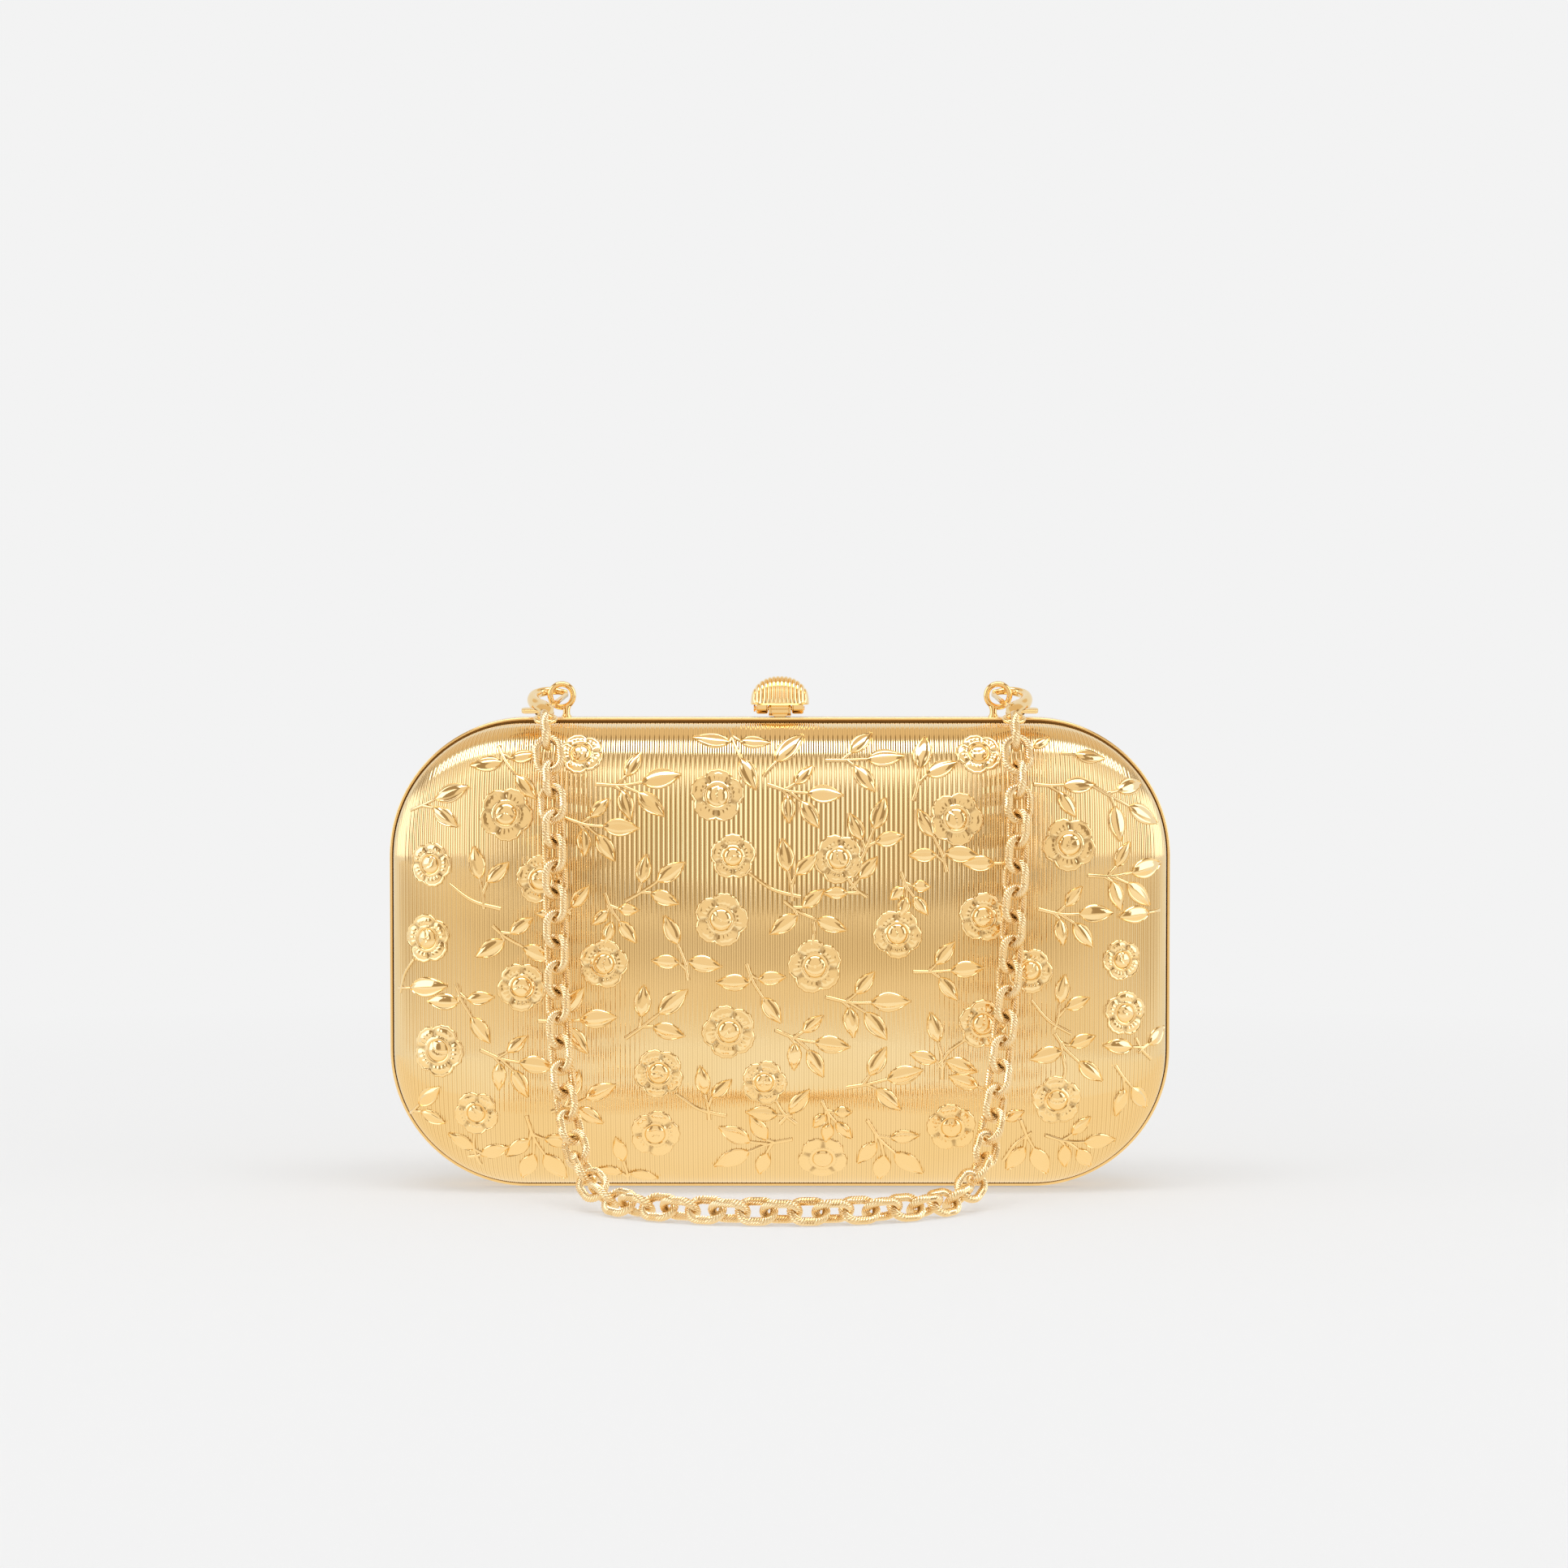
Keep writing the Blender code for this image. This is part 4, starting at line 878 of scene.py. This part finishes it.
def claspGate(name, side, body, node):
    # A flat bar to the claw's nose, and a rounded thumb tab behind the claw's back
    half, hub, pivot = clasp["gateHalf"], clasp["hub"], (clasp["pivotAcross"], clasp["pivotAlong"])
    noseShareAcross, noseShareAlong = clawStations[-1][:2]
    noseAcross = noseShareAcross * clasp["halfWidth"]
    noseAlong = noseShareAlong * clasp["length"] + clasp["gateGap"]
    edge = [(noseAcross + half * cos(a), noseAlong + half - half * sin(a))
            for a in circle(8, pi, -pi)]
    edge.append((noseAcross + half, noseAlong + half))
    edge += arcAt(pivot, hub, degreeSteps(-60, 121, 12))
    wide = clasp["tabWidth"] / 2
    tabAcross, tabHigh = wide - clasp["tab"], pivot[1] + hub
    edge += [(tabAcross - wide * sin(a), tabHigh - wide + wide * cos(a))
             for a in circle(10, 0, pi)]
    edge += [(tabAcross, tabHigh - 2 * wide), (pivot[0] - hub, pivot[1] - hub + half),
             (pivot[0] - half, pivot[1] - hub)]
    made = rounded(claspPlate(name, side, edge, clasp["gateThick"] / 2), clasp["gateRound"], 3, 50)
    made = combined(made, [rivetBore(side)], "DIFFERENCE")
    return finishMesh(made, claspGold, body, (node,))


for word, side in hands:
    strapEye("strap_eye_ring_" + word, side, "strap_eye_" + word)
    claspBody("lobster_claw_" + word, side, "clasp_body_" + word)
    claspGate("claw_gate_" + word, side, "gate_" + word, "clasp_gate_" + word)
print("eyes and clasps made")

# Chain of rope wire links, in millimetres
chain = {"length": 10.15, "width": 7.8, "wire": 2, "contact": 0.1, "play": 0.4, "roll": 45, "settle": 5,
         "floorGap": 0.2, "tailPlay": 0.35, "hangGap": 3.2, "lift": 24, "reach": 70.5, "lineSteps": 24,
         "rings": 80, "strands": 10, "groove": 0.16, "shade": 0.2}
# The strap's way between the clasps' tails: share of half its width, of its reach, and of the tails' height
strapRoute = ((-0.975, -0.07, 0.885), (-0.958, -0.012, 0.767), (-0.951, 0.0, 0.604), (-0.943, 0.02, 0.441),
              (-0.929, 0.066, 0.297), (-0.899, 0.162, 0.17), (-0.841, 0.328, 0.07), (-0.76, 0.516, 0.014),
              (-0.663, 0.681, 0.0), (-0.495, 0.843, 0.0), (-0.247, 0.966, 0.0), (0.0, 1.0, 0.0),
              (0.247, 0.977, 0.0), (0.495, 0.858, 0.0), (0.671, 0.675, 0.0), (0.781, 0.493, 0.014),
              (0.855, 0.316, 0.072), (0.905, 0.162, 0.17), (0.942, 0.066, 0.297), (0.972, 0.02, 0.441),
              (0.995, 0.0, 0.604), (1.012, -0.012, 0.767), (1.014, -0.07, 0.885))
tube = chain["wire"] / 2
bendRadius = (chain["width"] - chain["wire"]) / 2
halfLine = (chain["length"] - chain["wire"]) / 2
tightPitch = chain["length"] - 2 * chain["wire"] + chain["contact"]
loosePitch = chain["length"] - 2 * chain["wire"] - chain["play"]
meanPitch = (tightPitch + loosePitch) / 2
restHeight = bendRadius * sin(radians(chain["roll"])) + tube + chain["floorGap"]
caseHalfDepth = shell["rimDepth"] + shell["straight"] + shell["rise"] + shell["crown"]


def halved(low, high, steps, tooLow):
    # The upper end of what is left of a span that is halved again and again
    for _ in range(steps):
        middle = (low + high) / 2
        if tooLow(middle):
            low = middle
        else:
            high = middle
    return high


def strapLine(reach):
    tail = clasp["length"] + 2 * clasp["tailRing"]
    left, right = claspPoint(-1, 0, tail), claspPoint(1, 0, tail)
    hang, rise = caseHalfDepth + chain["hangGap"], left.z - restHeight
    places = [Vector((a * right.x, partingY - hang - b * (reach - hang), restHeight + c * rise))
              for a, b, c in strapRoute]
    start = halfLine - meanPitch / 2 - clasp["tailWire"] - tube - chain["tailPlay"]
    first = left + (places[0] - left).normalized() * start
    last = right + (places[-1] - right).normalized() * start
    return smoothLine([first, *places, last], chain["lineSteps"])


def lengthOf(line):
    return sum((b - a).length for a, b in zip(line, line[1:]))


def stepped(line, pitch, count):
    # Places one pitch after another along a line, and how much of the line is left
    places, spot, index = [line[0]], line[0], 0
    for done in range(count):
        while index + 1 < len(line) and (line[index + 1] - spot).length < pitch:
            index += 1
        if index + 1 == len(line):
            return places, (line[-1] - spot).length - pitch * (count - done)
        near, far = line[index], line[index + 1]
        spot = near.lerp(far, halved(0.0, 1.0, 30, lambda t: (near.lerp(far, t) - spot).length < pitch))
        places.append(spot)
    return places, lengthOf(line[index + 1:]) + (line[index + 1] - spot).length


def linkPlaces():
    count = 2 * round((lengthOf(strapLine(chain["reach"])) / meanPitch - 1) / 2) + 1
    most = caseHalfDepth + 2 * rimSizes["halfWidth"]
    reach = halved(caseHalfDepth, most, 40, lambda r: stepped(strapLine(r), meanPitch, count)[1] < 0)
    return stepped(strapLine(reach), meanPitch, count)[0]


def linkTurns():
    # Where each link lies, and how it is turned: across, along and through it
    places = linkPlaces()
    last, shift = len(places) - 2, (tightPitch - loosePitch) / 4
    found = []
    for i, (start, end) in enumerate(zip(places, places[1:])):
        along = (end - start).normalized()
        middle = (start + end) / 2 + along * shift * (-1 if i % 2 == 0 else 1)
        share = min(max((middle.z - restHeight) / (chain["lift"] - restHeight), 0), 1)
        share = share * share * (3 - 2 * share)
        out = Vector((0, -share, 1 - share))
        out = (out - along * out.dot(along)).normalized()
        settle = min(i, last - i, chain["settle"]) / chain["settle"]
        roll = (pi / 2 if i % 2 == 0 else 0) - settle * radians(chain["roll"])
        across = along.cross(out) * cos(roll) + out * sin(roll)
        turn = Matrix((across, along, across.cross(along))).transposed().to_euler("XYZ")
        found.append((middle, turn))
    return found


def ropeLink():
    # An oval of wire whose strands wind round it and meet again where it closes
    strands, rings = chain["strands"], chain["rings"]
    count = 2 * strands
    straight = halfLine - bendRadius
    arc, flat = pi * bendRadius, 2 * straight
    whole = 2 * (arc + flat)
    turnsInAll = round(whole / (2 * pi * tube) * strands) / strands
    shift = round(turnsInAll * count)
    made = []
    for i in range(rings):
        s = whole * i / rings
        end, s = (1, s) if s < arc + flat else (-1, s - arc - flat)
        if s < arc:
            a = s / bendRadius
            out = Vector((cos(a), sin(a), 0)) * end
            centre = Vector((0, straight * end, 0)) + out * bendRadius
        else:
            out = Vector((-end, 0, 0))
            centre = Vector((-bendRadius * end, (straight - (s - arc)) * end, 0))
        ring = []
        for k in range(count):
            b = 2 * pi * (k / count + turnsInAll * i / rings)
            radius = tube - (chain["groove"] if k % 2 else 0)
            ring.append(centre + (out * cos(b) + Vector((0, 0, 1)) * sin(b)) * radius)
        made.append(ring)
    vertices, faces = lofted(made, capped=False)
    start = (rings - 1) * count
    for k in range(count):
        j = (k + 1) % count
        faces.append((start + k, start + j, (j + shift) % count, (k + shift) % count))
    made = solidMesh("rope_link", vertices, faces)
    # Painted shade: the grooves between the strands are painted darker
    paintShade(made.data, [chain["shade"] * (k % 2) for k in range(count)] * rings)
    return made


link = ropeLink()
turns = linkTurns()
strap = scattered("rope_chain", link, [place for place, _ in turns], [tuple(turn) for _, turn in turns],
                  [(1, 1, 1)] * len(turns), ropeGold)
dropped(link)
pairs = (len(turns) + 1) // 2
finishMesh(strap, ropeGold, "strap", [f"strap_links_{i + 1:02d}" for i in range(pairs)], 60)
print("chain of", len(turns), "links laid")

# Ribbed knob, its bracket and its tongue, in millimetres
knobSizes = {"width": 14.4, "endShare": 0.985, "depth": 9.2, "height": 6.6, "lift": 3.4, "setback": 0.5,
             "ribs": 14, "ribSteps": 10, "ribDepth": 0.42, "arcs": 30, "power": 2.2, "plainFrom": 0.06,
             "plainTo": 0.18, "plainRise": 0.12, "underside": 0.32, "underShares": (0.96, 0.4, -0.4, -0.96),
             "root": 0.5, "pinHeight": 2.05, "pinBack": 2.2, "bore": 0.6, "boreReach": 12,
             "bracketReach": 8, "knuckle": 1.4, "knuckleRound": 0.5, "knuckleWide": 2.9,
             "knuckleGap": 0.2, "bracketWide": 5.4, "bracketRadius": 1.1, "bracketFoot": 1.65,
             "footLow": 0.2, "footHigh": 0.45, "flare": 0.1, "flareRise": 0.35}
tongueSizes = {"half": 2.15, "thick": 1.1, "front": 1.5, "dip": 0.4, "bands": 4, "band": 0.14,
               "steps": 36, "power": 1.25, "least": 0.25, "chamfer": 0.1, "slope": 0.3, "flat": 0.5}
caseTop = rimSizes["height"]
knobBase = caseTop + knobSizes["lift"]
pinPlace = (partingY + knobSizes["pinBack"], caseTop + knobSizes["pinHeight"])


def knobRings():
    # Half ovals side by side, fluted over the top and plain along the lower edge
    steps, arcs = knobSizes["ribSteps"] * knobSizes["ribs"], knobSizes["arcs"]
    middle, power = partingY + knobSizes["setback"], knobSizes["power"]
    plain, fluted = knobSizes["plainFrom"], knobSizes["plainTo"]
    rings = []
    for i in range(steps + 1):
        x = knobSizes["width"] / 2 * knobSizes["endShare"] * (2 * i / steps - 1)
        fall = (1 - abs(2 * x / knobSizes["width"]) ** power) ** (1 / power)
        t = 2 * ((i / knobSizes["ribSteps"]) % 1) - 1
        cut = knobSizes["ribDepth"] * (1 - sqrt(max(1 - t * t, 0)))
        ring = []
        for k in range(arcs + 1):
            turn = pi * k / arcs
            share = min(max((sin(turn) - plain) / (fluted - plain), 0), 1)
            depth = cut * share - knobSizes["plainRise"] * (1 - share)
            y = (knobSizes["depth"] / 2 * fall - depth) * cos(turn)
            z = (knobSizes["height"] * fall - depth) * sin(turn)
            ring.append((x, middle + y, knobBase + max(z, 0.0)))
        for share in knobSizes["underShares"]:
            y = middle - share * knobSizes["depth"] / 2 * fall
            ring.append((x, y, knobBase - knobSizes["underside"]))
        rings.append(ring)
    return rings


def tonguePart():
    # A plate with a rounded tip and level bands across its front
    half, steps, least = tongueSizes["half"], tongueSizes["steps"], tongueSizes["least"]
    tip, top = caseTop - tongueSizes["dip"], knobBase + knobSizes["root"]
    middle, thick = partingY - tongueSizes["front"], tongueSizes["thick"] / 2
    chamfer, slope = tongueSizes["chamfer"], tongueSizes["slope"]
    rings = []
    for i in range(steps + 1):
        z = tip + (top - tip) * (i / steps) ** tongueSizes["power"]
        low = max(tip + half - z, 0)
        wide = max(sqrt(max(half**2 - low**2, 0)), least)
        sunk = abs(sin(pi * tongueSizes["bands"] * (z - tip) / (top - tip)))
        front = middle - thick + tongueSizes["band"] - tongueSizes["band"] * sunk
        sides = ((wide, middle + thick), (wide, front + slope), (wide - chamfer, front + chamfer),
                 (tongueSizes["flat"] * wide, front))
        rings.append([(-x, y, z) for x, y in sides] + [(x, y, z) for x, y in sides[::-1]])
    return lofted(rings)


def knuckle(name, side):
    radius, (y, z), root = knobSizes["knuckle"], pinPlace, knobBase + knobSizes["root"]
    edge = arcAt(pinPlace, radius, degreeSteps(180, 361, 10)) + [(y + radius, root), (y - radius, root)]
    near = side * (knobSizes["bracketWide"] / 2 + knobSizes["knuckleGap"])
    low, high = sorted((near, near + side * knobSizes["knuckleWide"]))
    return rounded(prismOf(name, edge, low, high), knobSizes["knuckleRound"], 4, 60)


def pinBore(reach):
    return prismOf("pin_bore", arcAt(pinPlace, knobSizes["bore"], circle(28)), -reach, reach)


def ribbedKnob():
    made = solidMesh("ribbed_knob", *lofted(knobRings()))
    tongue = solidMesh("tongue", *tonguePart())
    knuckles = [knuckle("knuckle_" + word, side) for word, side in hands]
    made = combined(made, [*knuckles, tongue], "UNION")
    made = combined(made, [pinBore(knobSizes["boreReach"])], "DIFFERENCE")
    return finishMesh(made, paleGold, "knob", ("knob",), 42)


def saddleBracket():
    radius, (y, z), half = knobSizes["bracketRadius"], pinPlace, knobSizes["bracketWide"] / 2
    foot, step = caseTop + knobSizes["footLow"], caseTop + knobSizes["footHigh"]
    wide = knobSizes["bracketFoot"]
    flare, flareZ = radius + knobSizes["flare"], step + knobSizes["flareRise"]
    edge = arcAt(pinPlace, radius, degreeSteps(0, 181, 8))
    edge += [(y - radius, z), (y - flare, flareZ), (y - wide, step), (y - wide, foot), (y + wide, foot),
             (y + wide, step), (y + flare, flareZ)]
    made = prismOf("saddle_bracket", edge, -half, half)
    made = combined(made, [pinBore(knobSizes["bracketReach"])], "DIFFERENCE")
    return finishMesh(made, rimGold, "back_half", ("knob_bracket",))


ribbedKnob()
saddleBracket()
print("knob and bracket made")

# Linings, in millimetres
linings = {"clearance": 0.5, "thick": 1.0, "columns": 96, "rows": 64, "fill": 0.3}


def liningTray(name, side, body, node):
    columns, rows = linings["columns"], linings["rows"]
    outside = -(shell["wall"] + linings["clearance"])
    layers = []
    for height in (outside, outside - linings["thick"]):
        for i in range(columns + 1):
            across = (coreAcross + sheetEdge) * clustered(2 * i / columns - 1)
            beyond = max(abs(across) - coreAcross, 0)
            reach = coreUp + sqrt(max(sheetEdge**2 - beyond**2, 0))
            layers += [(across, reach * clustered(2 * j / rows - 1), height) for j in range(rows + 1)]
    size, column = len(layers) // 2, rows + 1
    faces = []
    for i in range(columns):
        for j in range(rows):
            near = i * column + j
            square = (near, near + column, near + column + 1, near + 1)
            faces += [square, tuple(k + size for k in square)[::-1]]
    edge = [i * column for i in range(columns)] + [columns * column + j for j in range(rows)]
    edge += [i * column + rows for i in range(columns, 0, -1)] + list(range(rows, 0, -1))
    for a, b in zip(edge, edge[1:] + edge[:1]):
        faces.append((b, a, a + size, b + size))
    made = solidMesh(name, pressed(layers, side), faces)
    finishMesh(made, lining, body, (node,), 60)
    return made


for word, side in halves:
    liningTray(word + "_satin_lining", side, word + "_half", word + "_lining")
smallParts = {"hinge_leaf_front": rimGold, "hinge_leaf_back": rimGold, "hinge_pin": rimGold,
              "knob_pin": rimGold, "gate_rivet_left": claspGold, "gate_rivet_right": claspGold}
for node, coat in smallParts.items():
    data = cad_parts[node].data
    data.materials.clear()
    data.materials.append(coat)
print("linings and small parts finished")

# Studio, in metres
studio = {"paper": 0.896, "cloth": (0.862, 0.866, 0.875, 1), "floorHalf": 30, "shadowShare": 0.55,
          "shadowStart": 0.12, "shadowReach": 0.5, "room": 0.6, "roomTone": (1, 0.99, 0.97, 1),
          "cameraAside": 0.001, "cameraBack": 1.2, "cameraHeight": 0.161, "cameraTurn": 87, "lens": 113,
          "sensor": 36, "aim": (0, 0, 0.06)}
white, warm, dark = (1, 1, 1, 1), (0.9, 0.77, 0.58), (0.4, 0.29, 0.17)
# Cards that only the gold's reflections show: across, ahead and up, each from and to, and their tone
cards = {
    "warm_wall_behind_camera": ((-1.6, 1.6), (-2.4, -2.4), (0, 2.2), warm),
    "warm_ceiling": ((-1.6, 1.6), (-2.4, -1), (2.2, 2.2), (0.93, 0.83, 0.66)),
    "warm_table": ((-1.6, 1.6), (-2.4, -0.19), (0.002, 0.002), warm),
    "warm_back_ceiling": ((-1.6, 1.6), (0, 1.5), (1.6, 1.6), (0.8, 0.62, 0.4)),
    "warm_floor_by_the_case": ((-0.3, 0.3), (-0.05, 0.07), (0.0001, 0.0001), (1, 0.88, 0.68)),
    "pale_floor_before_the_case": ((-0.6, 0.6), (-0.19, -0.05), (0.0001, 0.0001), (1, 0.95, 0.84)),
}
sideCards = {
    "dark_wall": ((1.1, 1.1), (-2.3, -0.9), (0.003, 2), dark),
    "dark_table": ((0.3, 1.1), (-0.9, -0.3), (0.003, 0.003), (0.68, 0.56, 0.4)),
    "dark_ceiling": ((0.8, 1.6), (-1, 0.6), (1.45, 1.45), dark),
}
# Softboxes: place, width, height and power
softboxes = {
    "overhead": ((0, -0.35, 1.5), 1.5, 0.5, 8.5),
    "left_side": ((-1.4, -0.5, 0.65), 1.3, 1.3, 5),
    "right_side": ((1.4, -0.5, 0.65), 1.3, 1.3, 5),
}


def lyingCorners(x1, x2, y1, y2, height):
    return [(x1, y1, height), (x2, y1, height), (x2, y2, height), (x1, y2, height)]


def studioPlane(name, corners, made, tree, surface):
    tree.nodes.remove(tree.nodes["Principled BSDF"])
    fed(tree, tree.nodes["Material Output"], {"Surface": surface})
    plane = noteMesh(name, corners, [tuple(range(len(corners)))])
    plane.data.materials.append(made)


def paperFloor():
    # White paper that keeps the object's shadow near it and is plain further off
    made, tree = newMaterial("whitePaper")
    place = wired(tree, "ShaderNodeTexCoord", out="Object")
    away = wired(tree, "ShaderNodeVectorMath", {0: place}, "Value", operation="LENGTH")
    share = spread(tree, away, studio["shadowShare"], 0, studio["shadowStart"], studio["shadowReach"])
    glow = wired(tree, "ShaderNodeEmission", {"Color": white, "Strength": studio["paper"]})
    plain = wired(tree, "ShaderNodeBsdfDiffuse", {"Color": studio["cloth"]})
    half = studio["floorHalf"]
    studioPlane("paper_floor", lyingCorners(-half, half, -half, half, 0), made, tree,
                wired(tree, "ShaderNodeMixShader", {"Fac": share, 1: glow, 2: plain}))


def glowCard(name, across, ahead, up, tone):
    # It lies where it has one height, and stands otherwise
    made, tree = newMaterial(name + "Glow")
    glow = wired(tree, "ShaderNodeEmission", {"Color": (*tone, 1), "Strength": 1})
    mix = wired(tree, "ShaderNodeMixShader", {
        "Fac": wired(tree, "ShaderNodeLightPath", out="Is Glossy Ray"),
        1: wired(tree, "ShaderNodeBsdfTransparent"),
        2: glow})
    (x1, x2), (y1, y2), (low, high) = across, ahead, up
    corners = [(x1, y1, low), (x2, y2, low), (x2, y2, high), (x1, y1, high)]
    if low == high:
        corners = lyingCorners(x1, x2, y1, y2, low)
    studioPlane(name, corners, made, tree, mix)


def softbox(name, place, width, height, power):
    data = bpy.data.lights.new(name, "AREA")
    data.shape = "RECTANGLE"
    data.size = width
    data.size_y = height
    data.energy = power
    made = placed(name, data)
    made.location = place
    made.rotation_euler = (Vector(studio["aim"]) - Vector(place)).to_track_quat("-Z", "Y").to_euler()


def whiteWorld():
    # White paper to what looks at it or mirrors it, and a plainer room to everything else
    world = bpy.data.worlds.new("paperRoom")
    bpy.context.scene.world = world
    world.use_nodes = True
    tree = world.node_tree
    seen = wired(tree, "ShaderNodeBackground", {"Color": white, "Strength": studio["paper"]})
    room = wired(tree, "ShaderNodeBackground", {"Color": studio["roomTone"], "Strength": studio["room"]})
    direct, glossy, through = (wired(tree, "ShaderNodeLightPath", out=f"Is {kind} Ray")
                               for kind in ("Camera", "Glossy", "Transmission"))
    looked = mathOf(tree, "MAXIMUM", mathOf(tree, "MAXIMUM", direct, glossy), through)
    fed(tree, tree.nodes["World Output"], {
        "Surface": wired(tree, "ShaderNodeMixShader", {"Fac": looked, 1: room, 2: seen})})


def camera():
    data = bpy.data.cameras.new("camera")
    data.lens = studio["lens"]
    data.sensor_width = studio["sensor"]
    made = placed("camera", data)
    made.location = (studio["cameraAside"], partingY * mm - studio["cameraBack"], studio["cameraHeight"])
    made.rotation_euler = (radians(studio["cameraTurn"]), 0, 0)
    bpy.context.scene.camera = made


paperFloor()
for name, card in cards.items():
    glowCard(name, *card)
for name, (across, ahead, up, tone) in sideCards.items():
    for word, side in hands:
        glowCard(f"{name}_{word}", [side * x for x in across], ahead, up, tone)
for name, box in softboxes.items():
    softbox(name, *box)
whiteWorld()
camera()
scene = bpy.context.scene
scene.view_settings.view_transform = "Standard"
